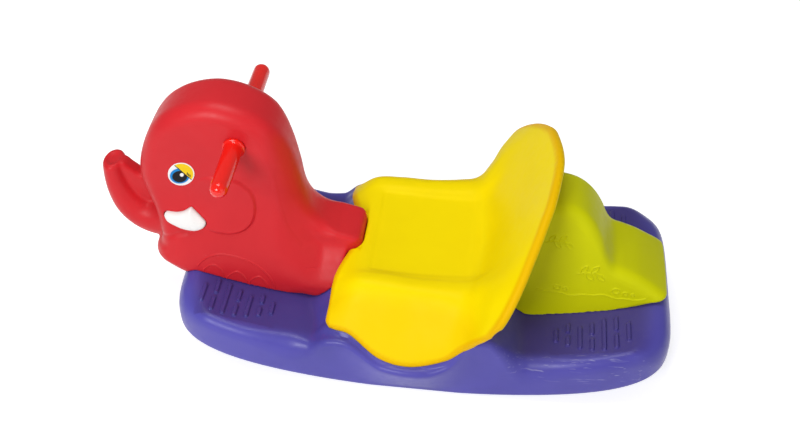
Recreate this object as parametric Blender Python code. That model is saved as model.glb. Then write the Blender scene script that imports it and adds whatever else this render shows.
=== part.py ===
"""Rocking elephant: a ride-on rocking toy of four blow-moulded shells screwed together.

Metres, +Z up. The origin is on the floor under the middle of the rocker, +X points to the
tail and +Y to the rider's right hand side when the rider faces the trunk.
"""
import bpy
import bmesh
from math import sqrt, sin, cos, acos, pi, hypot
from mathutils import Vector

# Rocker base
base_half_length = 0.4165
base_half_width = 0.200
base_corner_power = 6.0        # squareness of the plan outline
rocker_radius = 1.35           # arc that the toy rolls on
rocker_land = 0.150            # length of the flat that it stands on at rest
base_depth = 0.074             # from the rocking arc up to the foot platforms
base_side_round = (0.018, 0.024)   # the top edge's rounding: how far in and how far down
base_end_round = (0.036, 0.054)    # and the softer one round the ends and before the hump
base_soften_before = 0.060     # length over which the one becomes the other there
base_ledge_fillet = 0.012      # edge of the ledge that the seat's flaps are let into
base_bottom_fillet = 0.010
ledge_width = 0.011            # from a flap's lower edge to the side of the base
ledge_half_length = 0.125
side_steps = 10                # outline points in a quarter of the plan: along the side
corner_steps = 6               # round the corner
end_steps = 3                  # and across the end

# Foot platform ribs: spans across the platform, listed from the inner rib outwards
rib_pitch = 0.0192
rib_width = 0.0065
rib_height = 0.003
rib_sides = 6
front_ribs_start = base_half_length - 0.168
rear_ribs_start = base_half_length - 0.190
rib_spans = (
    ((0.118, 0.146),),
    ((0.107, 0.127), (0.134, 0.155)),
    ((0.114, 0.162),),
    ((0.108, 0.133), (0.140, 0.166)),
    ((0.099, 0.167),),
    ((0.096, 0.127), (0.133, 0.164)),
    ((0.110, 0.150),),
)

# Saddle seat
seat_wall = 0.014
seat_edge_round = 0.0055
pan_dish_depth = 0.004
seat_front = -0.122            # front edge of the pan, in the middle
seat_height = 0.172            # floor to the middle of the pan
back_height = 0.365            # floor to the top of the back
hump_sink = 0.009              # from the seat's outer surface down to the ledge that its rim sits in
hump_gap = 0.002               # air between the pan and the hump, inside that rim
rim_width = 0.012
hump_front = (-0.195, -0.118)  # the hump rises from the platform between these, under the head
hump_front_rim = (-0.172, -0.148)  # and between these at the side of the base
hump_rear = (0.112, 0.182)     # it falls again between these, under the rump
hump_rim_reach = (0.090, 0.140)    # from the one front to the other, outwards
hump_rear_height = 0.136       # top of the hump behind the pan

# Head shell
head_half_width = 0.051
head_fillet = 0.026
neck_fillet = 0.011            # edges along the top of the neck tab
head_crown = 0.006
notch_steps = 6
chest_half_width = 0.090
neck_half_width = 0.044
flare_top = 0.285              # the sides start to spread below this height
flare_bottom = 0.110
tab_half_width = 0.046         # the neck tab that the seat is notched for
tab_tip = -0.108
tab_corner_round = 0.024       # corners of the tab and of its notch in the seat
tab_bow = 0.001                # how far the curve of the tip runs past that
tab_gap = 0.0008               # more room at the tip
neck_flare_top = 0.188         # beside the neck the sides spread below this height
neck_flare = (-0.250, -0.170)
neck_edge = (-0.210, -0.165)   # from the head's rounding to the neck tab's
neck_start = -0.262            # from the head's side faces to the neck's, front to rear
neck_full = -0.215
chest_round_start = -0.400     # the chest's front corners are rounded from here
chest_round_length = 0.078
chest_front_half_width = 0.046

# Rump shell
rump_top_half_width = 0.051
rump_bottom_half_width = 0.083
rump_peak = back_height - 0.060
rump_top = rump_peak - 0.015   # the sides spread from here down
rump_bottom = 0.095
rump_fillet = 0.018
rump_crown = 0.002

# Hand grips, on one axis across the head
grip_x = -0.303
grip_z = 0.378
grip_root_radius = 0.0150
grip_tip_radius = 0.0140
grip_reach = 0.151             # middle plane to the centre of the domed tip
grip_collar_radius = 0.0180
grip_collar_length = 0.006
grip_collar_round = 0.0015
grip_collar_taper = 0.004      # from the collar down to the peg
grip_spigot_radius = 0.0125
grip_spigot_depth = 0.022
grip_rod_radius = 0.005
grip_rod_bite = 0.040          # how far the rod runs into each grip
grip_sides = 16
rod_sides = 10

# Cheeks, tusks and eyes
cheek_x = -0.332
cheek_z = 0.2625
cheek_radius_x = 0.056
cheek_radius_z = 0.0595
cheek_lift = 0.006
cheek_front_share = 0.3        # of that lift is left at the cheek's front edge
cheek_sink = 0.006
tusk_lift = 0.0085
tusk_sink = 0.006
eye_x = -0.398
eye_z = 0.3115
eye_radius_x = 0.0230
eye_radius_z = 0.0248
eye_thickness = 0.0006
eye_points = 24

# Screws from below
well_radius = 0.017
well_roof = 0.012              # plastic left between a well and the surface above
well_sides = 16
cut_over = 0.010               # how far a cutter stands out of the face that it starts from
screw_sides = 8
screw_shank_radius = 0.003
screw_head_radius = 0.0065
screw_head_height = 0.0045
screw_point = 0.004            # taper at the tip
screw_bite = 0.024             # how far a screw runs into a head or rump shell
seat_screw_bite = 0.009
washer_radius = 0.0120
washer_thickness = 0.0020
screw_places = (
    ("head_front", -0.345, 0.0),
    ("head_rear", -0.235, 0.0),
    ("seat_left", -0.013, -0.062),
    ("seat_right", -0.013, 0.062),
    ("rump_front", 0.225, 0.0),
    ("rump_rear", 0.340, 0.0),
)

clearance = 0.0003             # between pieces that touch
hole_clearance = 0.0006        # round a screw's shank


def new_material(name, colour, roughness, metallic=0.0):
    material = bpy.data.materials.new(name)
    material.use_nodes = True
    shader = material.node_tree.nodes["Principled BSDF"]
    shader.inputs["Base Color"].default_value = (*colour, 1.0)
    shader.inputs["Roughness"].default_value = roughness
    shader.inputs["Metallic"].default_value = metallic
    return material


def new_object(name, points, faces, material=None):
    mesh = bpy.data.meshes.new(name)
    mesh.from_pydata([tuple(p) for p in points], [], faces)
    build = bmesh.new()
    build.from_mesh(mesh)
    bmesh.ops.remove_doubles(build, verts=build.verts, dist=1e-6)
    bmesh.ops.triangulate(build, faces=build.faces)
    bmesh.ops.recalc_face_normals(build, faces=build.faces)
    build.to_mesh(mesh)
    build.free()
    if material:
        mesh.materials.append(material)
    mesh.shade_smooth()
    mesh.set_sharp_from_angle(angle=0.6)
    piece = bpy.data.objects.new(name, mesh)
    bpy.context.scene.collection.objects.link(piece)
    return piece


def as_cutter(piece):
    piece.hide_render = True
    piece.display_type = "WIRE"
    return piece


def grown_copy(piece, gap):
    """A cutter of the finished shape of a piece, pushed out along its normals by a gap."""
    bpy.context.view_layer.update()
    graph = bpy.context.evaluated_depsgraph_get()
    mesh = bpy.data.meshes.new_from_object(piece.evaluated_get(graph))
    normals = [v.normal.copy() for v in mesh.vertices]
    for vertex, normal in zip(mesh.vertices, normals):
        vertex.co += normal * gap
    copy = bpy.data.objects.new(piece.name + "_cutter", mesh)
    bpy.context.scene.collection.objects.link(copy)
    return as_cutter(copy)


def combine(piece, other, operation):
    modifier = piece.modifiers.new(operation.lower(), "BOOLEAN")
    modifier.operation = operation
    modifier.solver = "EXACT"
    modifier.object = other
    return modifier


def smoothstep(low, high, value):
    t = min(1.0, max(0.0, (value - low) / (high - low)))
    return t * t * (3.0 - 2.0 * t)


def blend(a, b, t):
    return a + (b - a) * t


def curve_point(p0, p1, p2, p3, t):
    """Catmull-Rom: a smooth curve from p1 to p2."""
    return tuple(
        0.5 * (2 * b + (c - a) * t + (2 * a - 5 * b + 4 * c - d) * t * t + (3 * b - a - 3 * c + d) * t ** 3)
        for a, b, c, d in zip(p0, p1, p2, p3))


def smooth_loop(points, steps):
    """A closed smooth curve through points, with a number of steps between neighbours."""
    count = len(points)
    result = []
    for i in range(count):
        corners = [points[(i + k) % count] for k in (-1, 0, 1, 2)]
        for step in range(steps):
            result.append(curve_point(*corners, step / steps))
    return result


def smooth_run(points, steps):
    """An open smooth curve through points."""
    ends = [points[0], *points, points[-1]]
    result = []
    for i in range(len(points) - 1):
        for step in range(steps):
            result.append(curve_point(*ends[i:i + 4], step / steps))
    result.append(tuple(points[-1]))
    return result


def ring_faces(rings, count):
    """Quads between neighbouring rings of the same point count."""
    faces = []
    for k in range(rings - 1):
        for i in range(count):
            j = (i + 1) % count
            faces.append((k * count + i, k * count + j, (k + 1) * count + j, (k + 1) * count + i))
    return faces


def fillet_drop(inset, radius):
    """How far a rounded edge lies below the face that it leads to, at an inset from the side."""
    if inset >= radius:
        return 0.0
    return radius * (1.0 - sqrt(1.0 - (1.0 - inset / radius) ** 2))


def arc_height(x):
    """The rocking arc, which the foot platforms repeat at a constant depth."""
    return x * x / (2.0 * rocker_radius)


def rocker_height(x):
    """The underside: the rocking arc, cut off level where the toy stands."""
    return max(0.0, arc_height(x) - arc_height(rocker_land / 2))


# Saddle seat: sections from the middle to the right flap edge, each point (x, y, z)
def seat_sections():
    f = seat_front
    h = seat_height
    b = back_height
    m = 0.5 * (h + b)
    return (
        ((f + 0.002, 0, h + 0.001), (f - 0.022, 0.085, h - 0.009),
         (f - 0.028, 0.112, h - 0.021), (f - 0.029, 0.130, h - 0.031),
         (f - 0.030, 0.145, h - 0.040), (f - 0.031, 0.158, h - 0.046),
         (f - 0.031, 0.169, h - 0.053), (f - 0.026, 0.180, h - 0.059)),
        ((-0.102, 0, h + 0.002), (-0.106, 0.085, h + 0.005),
         (-0.108, 0.113, h + 0.008), (-0.108, 0.130, h + 0.006), (-0.109, 0.146, h - 0.006),
         (-0.110, 0.161, h - 0.023), (-0.111, 0.174, h - 0.040), (-0.112, 0.187, h - 0.058)),
        ((-0.060, 0, h), (-0.060, 0.085, h + 0.003),
         (-0.060, 0.113, h + 0.011), (-0.060, 0.132, h + 0.010), (-0.060, 0.148, h - 0.003),
         (-0.060, 0.170, h - 0.032), (-0.060, 0.190, h - 0.060), (-0.060, 0.209, h - 0.086)),
        ((-0.008, 0, h - 0.002), (-0.008, 0.087, h + 0.001),
         (-0.008, 0.116, h + 0.008), (-0.008, 0.135, h + 0.007), (-0.008, 0.151, h - 0.007),
         (-0.008, 0.173, h - 0.037), (-0.008, 0.195, h - 0.066), (-0.008, 0.215, h - 0.094)),
        ((0.044, 0, h - 0.001), (0.044, 0.087, h + 0.002),
         (0.044, 0.117, h + 0.009), (0.044, 0.137, h + 0.009), (0.045, 0.154, h - 0.002),
         (0.046, 0.176, h - 0.030), (0.047, 0.195, h - 0.056), (0.048, 0.209, h - 0.080)),
        ((0.078, 0, h + 0.001), (0.077, 0.087, h + 0.005),
         (0.076, 0.118, h + 0.013), (0.076, 0.140, h + 0.013), (0.076, 0.160, h + 0.003),
         (0.076, 0.181, h - 0.016), (0.075, 0.199, h - 0.035), (0.074, 0.209, h - 0.050)),
        ((0.103, 0, h + 0.010), (0.100, 0.087, h + 0.018),
         (0.098, 0.121, h + 0.032), (0.097, 0.148, h + 0.036), (0.096, 0.173, h + 0.022),
         (0.096, 0.195, h + 0.004), (0.094, 0.210, h - 0.010), (0.091, 0.217, h - 0.024)),
        ((0.140, 0, m - 0.018), (0.134, 0.087, m - 0.022),
         (0.130, 0.127, m - 0.023), (0.124, 0.160, m - 0.026), (0.119, 0.190, m - 0.038),
         (0.114, 0.211, m - 0.060), (0.110, 0.222, m - 0.083), (0.106, 0.225, m - 0.103)),
        ((0.2035, 0, b), (0.1945, 0.080, b - 0.012),
         (0.184, 0.121, b - 0.030), (0.171, 0.162, b - 0.058), (0.156, 0.200, b - 0.092),
         (0.140, 0.226, b - 0.124), (0.128, 0.235, b - 0.153), (0.119, 0.231, b - 0.184)),
    )


def section_point(section, across):
    """Where a section lies at a distance from the centre plane: (x, z). Beyond its edge it stays level."""
    for (x0, y0, z0), (x1, y1, z1) in zip(section, section[1:]):
        if across <= y1:
            t = (across - y0) / (y1 - y0)
            return blend(x0, x1, t), blend(z0, z1, t)
    return section[-1][0], section[-1][2]


def seat_surface(x, across):
    """Height of the seat's outer surface, or past a flap's edge the height of that edge."""
    marks = [section_point(section, across) for section in seat_sections()]
    for (x0, z0), (x1, z1) in zip(marks, marks[1:]):
        if x <= x1:
            return blend(z0, z1, max(0.0, (x - x0) / (x1 - x0)))
    return marks[-1][1]


def hump_share(x, across):
    """0 on the foot platforms, 1 under the seat."""
    rim = smoothstep(*hump_rim_reach, across)
    front = [blend(a, b, rim) for a, b in zip(hump_front, hump_front_rim)]
    return smoothstep(*front, x) * (1.0 - smoothstep(*hump_rear, x))


def flap_reach(x):
    """How far from the centre the flap's lower edge is."""
    edges = [(section[-1][0], section[-1][1]) for section in seat_sections()]
    for (x0, y0), (x1, y1) in zip(edges, edges[1:]):
        if x <= x1:
            return blend(y0, y1, max(0.0, (x - x0) / (x1 - x0)))
    return edges[-1][1]


def base_top_height(x, y):
    platform = base_depth + arc_height(x)
    inside = smoothstep(0.0, rim_width, flap_reach(x) - rim_width - abs(y))
    sink = blend(hump_sink, seat_wall + pan_dish_depth + hump_gap, inside)
    under_seat = seat_surface(x, abs(y)) - sink
    cap = blend(seat_height, hump_rear_height, smoothstep(0.4 * hump_rear[0], 0.8 * hump_rear[0], x))
    return blend(platform, max(platform, min(under_seat, cap)), hump_share(x, abs(y)))


def edge_rounding(x):
    """How far the top edge's rounding reaches in and down the side."""
    ends = smoothstep(0.84 * base_half_length, 0.97 * base_half_length, abs(x))
    before = smoothstep(hump_front[0] - base_soften_before, hump_front[0], x)
    behind = 1.0 - smoothstep(hump_rear[1], hump_rear[1] + base_soften_before, x)
    soft = max(ends, min(before, behind))
    ledge = hump_share(x, base_half_width)
    return [blend(blend(side, end, soft), base_ledge_fillet, ledge)
            for side, end in zip(base_side_round, base_end_round)]


def base_bulge(x):
    """How much wider the base is beside the seat, where it carries the ledge for the flaps."""
    flap_reach = seat_sections()[3][-1][1]
    along = (x - seat_sections()[3][-1][0]) / ledge_half_length
    return (flap_reach + ledge_width - base_half_width) * max(0.0, 1.0 - along * along) ** 2


def base_outline():
    """Plan outline of the base, once round: a superellipse with evenly spaced points."""
    power = base_corner_power
    straight = 0.75
    quarter = []
    for i in range(side_steps):
        x = straight * i / side_steps
        quarter.append((x, (1.0 - x ** power) ** (1.0 / power)))
    start = acos(straight ** (power / 2))
    for i in range(corner_steps):
        angle = blend(pi / 2 - start, start, 1.0 - i / corner_steps)
        quarter.append((cos(angle) ** (2 / power), sin(angle) ** (2 / power)))
    for i in range(end_steps):
        y = straight * (1.0 - i / end_steps)
        quarter.append(((1.0 - y ** power) ** (1.0 / power), y))
    quarter.append((1.0, 0.0))
    back = quarter[1:-1]
    outline = quarter + [(x, -y) for x, y in reversed(quarter[:-1])]
    outline += [(-x, -y) for x, y in back] + [(-1.0, 0.0)] + [(-x, y) for x, y in reversed(back)]
    return [(x * base_half_length, y * base_half_width) for x, y in outline]


def build_base(material):
    outline = base_outline()
    spine_half = base_half_length - base_half_width

    def inset_ring(inset, bulge_share):
        share = inset / base_half_width
        ring = []
        for x, y in outline:
            middle = min(spine_half, max(-spine_half, x))
            wide = y + (y / base_half_width) * base_bulge(x) * bulge_share
            ring.append((blend(x, middle, share), blend(wide, 0.0, share)))
        return ring

    points = []
    inner = 0.95 * base_half_width
    bottom_insets = [base_bottom_fillet * share for share in (1.0, 0.25, 0.0)]
    bottom_insets.insert(0, inner)
    for inset in bottom_insets:
        for x, y in inset_ring(inset, 0.0):
            points.append((x, y, rocker_height(x) + fillet_drop(inset, base_bottom_fillet)))
    top_insets = [base_end_round[0] * share for share in (0.0, 0.05, 0.18, 0.45, 1.0)]
    top_insets += [0.3 * base_half_width, 0.5 * base_half_width, inner]
    for inset in top_insets:
        for x, y in inset_ring(inset, 1.0):
            reach, fall = edge_rounding(x)
            points.append((x, y, base_top_height(x, y) - fillet_drop(inset, reach) * fall / reach))
    count = len(outline)
    rings = len(bottom_insets) + len(top_insets)
    faces = ring_faces(rings, count)
    faces.append(tuple(range(count)))
    faces.append(tuple((rings - 1) * count + i for i in range(count)))
    return new_object("rocker_base", points, faces, material)


def rib(x, inner, outer, side):
    """One anti-slip rib: a pill with a rounded crown, its foot sunk in the platform."""
    radius = rib_width / 2
    around = []
    for i in range(rib_sides):
        angle = 2 * pi * (i + 0.5) / rib_sides
        end = outer - radius if sin(angle) > 0 else inner + radius
        around.append((cos(angle), sin(angle), end))
    points = []
    for share, lift in ((1.15, -0.004), (0.62, rib_height)):
        for c, s, end in around:
            px = x + c * radius * share
            py = side * (end + s * radius * share)
            points.append((px, py, base_top_height(px, abs(py)) + lift))
    faces = ring_faces(2, rib_sides)
    faces.append(tuple(range(rib_sides)))
    faces.append(tuple(rib_sides + i for i in range(rib_sides)))
    return points, faces


def build_ribs():
    points, faces = [], []
    for side in (-1, 1):
        for end, start in ((-1, front_ribs_start), (1, rear_ribs_start)):
            for place, spans in enumerate(rib_spans):
                for inner, outer in spans:
                    more, links = rib(end * (start + place * rib_pitch), inner, outer, side)
                    faces += [tuple(len(points) + i for i in link) for link in links]
                    points += more
    return as_cutter(new_object("tread_ribs", points, faces))


def pan_share(x, y):
    """1 inside the outline of the seat pan's shallow dish, 0 outside it."""
    across = 1.0 - smoothstep(0.090, 0.104, abs(y))
    return across * smoothstep(-0.094, -0.078, x) * (1.0 - smoothstep(0.092, 0.118, x))


def seat_rows():
    """Each section of the seat as a smooth line from the left edge to the right."""
    rows = []
    for section in seat_sections():
        half = list(section)
        whole = [(x, -y, z) for x, y, z in reversed(half[1:])] + half
        rows.append(smooth_run(whole, 2))
    return rows


def build_seat(material):
    # The sections run across, and these lines from section to section
    across = seat_rows()
    columns = len(across[0])
    lines = [smooth_run([row[c] for row in across], 2) for c in range(columns)]
    rows = len(lines[0])
    points = []
    for r in range(rows):
        for c in range(columns):
            x, y, z = lines[c][r]
            points.append((x, y, z - pan_dish_depth * pan_share(x, y)))
    faces = []
    for r in range(rows - 1):
        for c in range(columns - 1):
            a = r * columns + c
            faces.append((a, a + columns, a + columns + 1, a + 1))
    mesh = bpy.data.meshes.new("saddle_seat")
    mesh.from_pydata(points, [], faces)
    mesh.materials.append(material)
    mesh.shade_smooth()
    seat = bpy.data.objects.new("saddle_seat", mesh)
    bpy.context.scene.collection.objects.link(seat)
    if mesh.polygons[len(faces) // 3].normal.z < 0:
        mesh.flip_normals()
    wall = seat.modifiers.new("wall", "SOLIDIFY")
    wall.thickness = seat_wall
    wall.offset = -1.0
    wall.use_even_offset = False
    edge = seat.modifiers.new("edge", "BEVEL")
    edge.width = seat_edge_round
    edge.segments = 2
    edge.limit_method = "ANGLE"
    edge.angle_limit = 1.0
    seat.modifiers.new("facets", "TRIANGULATE")
    return seat


def nearest_on(spine, x, z):
    best = None
    for (x0, z0), (x1, z1) in zip(spine, spine[1:]):
        dx, dz = x1 - x0, z1 - z0
        t = ((x - x0) * dx + (z - z0) * dz) / (dx * dx + dz * dz)
        t = min(1.0, max(0.0, t))
        px, pz = x0 + dx * t, z0 + dz * t
        gap = hypot(x - px, z - pz)
        if best is None or gap < best[0]:
            best = (gap, px, pz)
    return best


def build_pillow(name, outline, spine, half_width, fillet, crown, material):
    """A shell drawn by its side outline: side faces rounded by fillet(x), joined by a band with a
    crown(x)."""
    count = len(outline)
    insets = (0.0, 0.14, 0.48, 1.0)

    def side_ring(inset, side, share=None):
        ring = []
        for x, z in outline:
            gap, px, pz = nearest_on(spine, x, z)
            radius = fillet(x)
            t = inset * radius / gap if share is None else blend(radius / gap, 1.0, share)
            qx, qz = blend(x, px, t), blend(z, pz, t)
            drop = fillet_drop(inset * radius, radius) if share is None else 0.0
            ring.append((qx, side * (half_width(qx, qz) - drop), qz))
        return ring

    def band_ring(level):
        ring = []
        for i, (x, z) in enumerate(outline):
            ax, az = outline[i - 1]
            bx, bz = outline[(i + 1) % count]
            tangent = hypot(bx - ax, bz - az)
            nx, nz = (bz - az) / tangent, -(bx - ax) / tangent
            rise = crown(x) * (1.0 - level * level)
            ring.append((x + nx * rise, level * (half_width(x, z) - fillet(x)), z + nz * rise))
        return ring

    shares = (0.40, 0.82)
    rings = [side_ring(0.0, -1, share) for share in reversed(shares)]
    rings += [side_ring(inset, -1) for inset in reversed(insets)]
    rings += [band_ring(level) for level in (-0.4, 0.4)]
    rings += [side_ring(inset, 1) for inset in insets]
    rings += [side_ring(0.0, 1, share) for share in shares]
    points = [p for ring in rings for p in ring]
    faces = ring_faces(len(rings), count)
    faces.append(tuple(range(count)))
    faces.append(tuple((len(rings) - 1) * count + i for i in range(count)))
    return new_object(name, points, faces, material)


# Side outline of the head shell, (x, z), from the chest up the face and back along the top
head_outline = (
    (-0.440, 0.124), (-0.456, 0.130), (-0.465, 0.141), (-0.461, 0.155), (-0.452, 0.166),
    (-0.452, 0.190), (-0.459, 0.225), (-0.469, 0.258), (-0.475, 0.290), (-0.470, 0.325),
    (-0.458, 0.360), (-0.441, 0.392), (-0.417, 0.418), (-0.382, 0.438), (-0.340, 0.447),
    (-0.298, 0.440), (-0.261, 0.421), (-0.236, 0.393), (-0.2215, 0.357), (-0.212, 0.312),
    (-0.2065, 0.271), (-0.197, 0.238), (-0.177, 0.213), (-0.152, 0.199), (-0.128, 0.192),
    (tab_tip - 0.005, 0.186), (tab_tip, 0.170), (tab_tip - 0.005, 0.140), (-0.150, 0.085),
    (-0.260, 0.070), (-0.380, 0.100),
)
head_spine = ((-0.350, 0.352), (-0.335, 0.270), (-0.320, 0.200), (-0.280, 0.150), (-0.160, 0.140))


def head_width(x, z):
    front_round = sqrt(max(0.0, 1.0 - max(0.0, (chest_round_start - x) / chest_round_length) ** 2))
    chest = blend(chest_front_half_width, chest_half_width, front_round)
    top = blend(head_half_width, neck_half_width, smoothstep(neck_start, neck_full, x))
    crest = blend(flare_top, neck_flare_top, smoothstep(*neck_flare, x))
    flare = 1.0 - smoothstep(flare_bottom, crest, z)
    return blend(top, chest, flare)


def head_rounding(x):
    return blend(head_fillet, neck_fillet, smoothstep(*neck_edge, x))


# Trunk: (x, z, half thickness in the side view, half width) along its middle line
trunk_stations = (
    (-0.430, 0.187, 0.044, 0.046), (-0.461, 0.178, 0.039, 0.043), (-0.490, 0.184, 0.034, 0.039),
    (-0.512, 0.204, 0.029, 0.036), (-0.524, 0.233, 0.0245, 0.033), (-0.529, 0.262, 0.0205, 0.030),
    (-0.530, 0.284, 0.0180, 0.027),
)


# Web that fills the throat between the raised trunk and the face, (x, z)
web_outline = (
    (-0.516, 0.290), (-0.500, 0.280), (-0.486, 0.269), (-0.465, 0.262), (-0.445, 0.225),
    (-0.450, 0.180), (-0.480, 0.175), (-0.508, 0.200), (-0.523, 0.245),
)
web_spine = ((-0.505, 0.245), (-0.475, 0.215))
web_half_width = 0.014
web_fillet = 0.007


def build_web():
    return as_cutter(build_pillow("trunk_web", web_outline, web_spine, lambda x, z: web_half_width,
                                  lambda x: web_fillet, lambda x: 0.0, None))


def build_trunk():
    sides = 12
    stations = smooth_run(trunk_stations, 2)
    points = []
    rings = []
    for i, (x, z, thick, wide) in enumerate(stations):
        x0, z0 = stations[max(0, i - 1)][:2]
        x1, z1 = stations[min(len(stations) - 1, i + 1)][:2]
        length = hypot(x1 - x0, z1 - z0)
        rings.append((x, z, (x1 - x0) / length, (z1 - z0) / length, thick, wide))
    x, z, tx, tz, thick, wide = rings[-1]
    # Rounded lip and the shallow dish inside it
    for advance, share in ((0.0060, 0.92), (0.0085, 0.72), (0.0075, 0.56), (0.0055, 0.40)):
        rings.append((x + tx * advance, z + tz * advance, tx, tz, thick * share, wide * share))
    for x, z, tx, tz, thick, wide in rings:
        for i in range(sides):
            angle = 2 * pi * i / sides
            points.append((x - tz * cos(angle) * thick, sin(angle) * wide, z + tx * cos(angle) * thick))
    faces = ring_faces(len(rings), sides)
    faces.append(tuple(range(sides)))
    faces.append(tuple((len(rings) - 1) * sides + i for i in range(sides)))
    return as_cutter(new_object("trunk", points, faces))


rump_outline = (
    (0.150, 0.078), (0.124, 0.120), (0.112, 0.165), (0.119, 0.195), (0.135, rump_peak - 0.081),
    (0.152, rump_peak - 0.051), (0.168, rump_peak - 0.021), (0.183, rump_peak - 0.005),
    (0.206, rump_peak), (0.232, rump_peak - 0.004), (0.254, rump_peak - 0.016),
    (0.273, rump_peak - 0.037), (0.288, rump_peak - 0.064), (0.299, 0.213), (0.311, 0.195),
    (0.330, 0.187), (0.353, 0.177), (0.376, 0.163),
    (0.396, 0.149), (0.405, 0.140), (0.401, 0.133), (0.385, 0.127), (0.350, 0.108), (0.300, 0.085),
    (0.220, 0.070),
)
rump_spine = ((0.170, rump_peak - 0.065), (0.200, 0.180), (0.260, 0.140), (0.350, 0.135))


def rump_width(x, z):
    return blend(rump_top_half_width, rump_bottom_half_width, (rump_top - z) / (rump_top - rump_bottom))


def turned(name, profile, axis_point, axis, sides, material=None, hollow=False):
    """A turned piece: profile points (distance along the axis, radius). A hollow one is a ring whose
    last profile point joins its first."""
    along = Vector(axis).normalized()
    across = along.orthogonal().normalized()
    other = along.cross(across)
    points = []
    origin = Vector(axis_point)
    for distance, radius in profile:
        for i in range(sides):
            angle = 2 * pi * (i + 0.5) / sides
            points.append(origin + along * distance + (across * cos(angle) + other * sin(angle)) * radius)
    faces = ring_faces(len(profile), sides)
    last = (len(profile) - 1) * sides
    if hollow:
        for i in range(sides):
            j = (i + 1) % sides
            faces.append((last + i, last + j, j, i))
    else:
        faces.append(tuple(range(sides)))
        faces.append(tuple(last + i for i in range(sides)))
    return new_object(name, points, faces, material)


def rod(name, radius, start, end, axis_point, axis, sides):
    return as_cutter(turned(name, [(start, radius), (end, radius)], axis_point, axis, sides))


def relief(name, outline, centre, side, rings, surface, material=None):
    """A low closed form on a shell's side: rings (share of the outline, height above the surface)."""
    points = []
    for share, lift in rings:
        for x, z in outline:
            px, pz = blend(centre[0], x, share), blend(centre[1], z, share)
            height = lift(px, pz) if callable(lift) else lift
            points.append((px, side * (surface(px, pz) + height), pz))
    count = len(outline)
    faces = ring_faces(len(rings), count)
    faces.append(tuple(range(count)))
    faces.append(tuple((len(rings) - 1) * count + i for i in range(count)))
    return new_object(name, points, faces, material)


def ellipse(centre_x, centre_z, radius_x, radius_z, count):
    return [(centre_x + radius_x * cos(2 * pi * i / count), centre_z + radius_z * sin(2 * pi * i / count))
            for i in range(count)]


def build_cheek(side):
    """The raised ear and cheek pad: crisp at the back, fading towards the eye."""
    outline = ellipse(cheek_x, cheek_z, cheek_radius_x, cheek_radius_z, 20)

    def lift(x, z):
        back = smoothstep(cheek_x - cheek_radius_x, cheek_x + 0.5 * cheek_radius_x, x)
        return cheek_lift * blend(cheek_front_share, 1.0, back)

    rings = [(1.0, -cheek_sink), (0.97, lambda x, z: 0.55 * lift(x, z)), (0.88, lift), (0.5, lift)]
    return as_cutter(relief("cheek", outline, (cheek_x, cheek_z), side, rings, head_width))


# Side outline of a tusk, (x, z): blunt front end, hollow top edge, a peak and a rounded heel
tusk_outline = (
    (-0.4350, 0.2290), (-0.4300, 0.2345), (-0.4210, 0.2345), (-0.4130, 0.2345), (-0.4050, 0.2365),
    (-0.3985, 0.2395), (-0.3925, 0.2440), (-0.3880, 0.2465), (-0.3845, 0.2430), (-0.3800, 0.2385),
    (-0.3717, 0.2295), (-0.3655, 0.2225), (-0.3655, 0.2165), (-0.3705, 0.2105), (-0.3810, 0.2060),
    (-0.3930, 0.2058), (-0.4030, 0.2072), (-0.4128, 0.2100), (-0.4286, 0.2165), (-0.4340, 0.2225),
)
tusk_middle = (-0.3960, 0.2230)


def build_tusk(name, side, material):
    rings = [(0.95, -tusk_sink), (1.0, 0.25 * tusk_lift), (0.94, 0.62 * tusk_lift),
             (0.76, 0.90 * tusk_lift), (0.40, tusk_lift)]
    return relief(name, tusk_outline, tusk_middle, side, rings, head_width, material)


def build_eye(name, side, material):
    outline = ellipse(eye_x, eye_z, eye_radius_x, eye_radius_z, eye_points)
    rings = [(1.0, clearance), (1.0, clearance + eye_thickness)]
    return relief(name, outline, (eye_x, eye_z), side, rings, lambda x, z: head_half_width, material)


# Hand grips: each peg has a collar against the head and a spigot in its socket, and one steel rod
# through the head holds the two together
grip_face = head_half_width + clearance


def build_grip(name, side, material):
    tip = [(grip_reach + grip_tip_radius * sin(angle), grip_tip_radius * cos(angle))
           for angle in (0.0, 0.55, 1.1)]
    profile = [
        (head_half_width - grip_spigot_depth, grip_spigot_radius),
        (grip_face, grip_spigot_radius),
        (grip_face, grip_collar_radius - grip_collar_round),
        (grip_face + grip_collar_round, grip_collar_radius),
        (grip_face + grip_collar_length - grip_collar_round, grip_collar_radius),
        (grip_face + grip_collar_length, grip_collar_radius - grip_collar_round),
        (grip_face + grip_collar_length + grip_collar_taper, grip_root_radius),
        *tip,
    ]
    grip = turned(name, profile, (grip_x, 0, grip_z), (0, side, 0), grip_sides, material)
    inner = head_half_width - grip_spigot_depth
    bore = rod("bore", grip_rod_radius + clearance, inner - cut_over, inner + grip_rod_bite + clearance,
               (grip_x, 0, grip_z), (0, side, 0), rod_sides)
    combine(grip, bore, "DIFFERENCE")


def cut_grip_sockets(head):
    """One stepped bore through the head: a socket at each side and the rod's hole between them."""
    outer = head_half_width + head_crown
    inner = head_half_width - grip_spigot_depth - clearance
    socket = grip_spigot_radius + clearance
    hole = grip_rod_radius + clearance
    stepped = [
        (-outer, socket), (-inner, socket), (-inner, hole),
        (inner, hole), (inner, socket), (outer, socket),
    ]
    cutter = turned("grip_sockets", stepped, (grip_x, 0, grip_z), (0, 1, 0), grip_sides)
    combine(head, as_cutter(cutter), "DIFFERENCE")


def build_grip_rod(material):
    half = head_half_width - grip_spigot_depth + grip_rod_bite
    return turned("grip_rod", [(-half, grip_rod_radius), (half, grip_rod_radius)],
                  (grip_x, 0, grip_z), (0, 1, 0), rod_sides, material)


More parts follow.
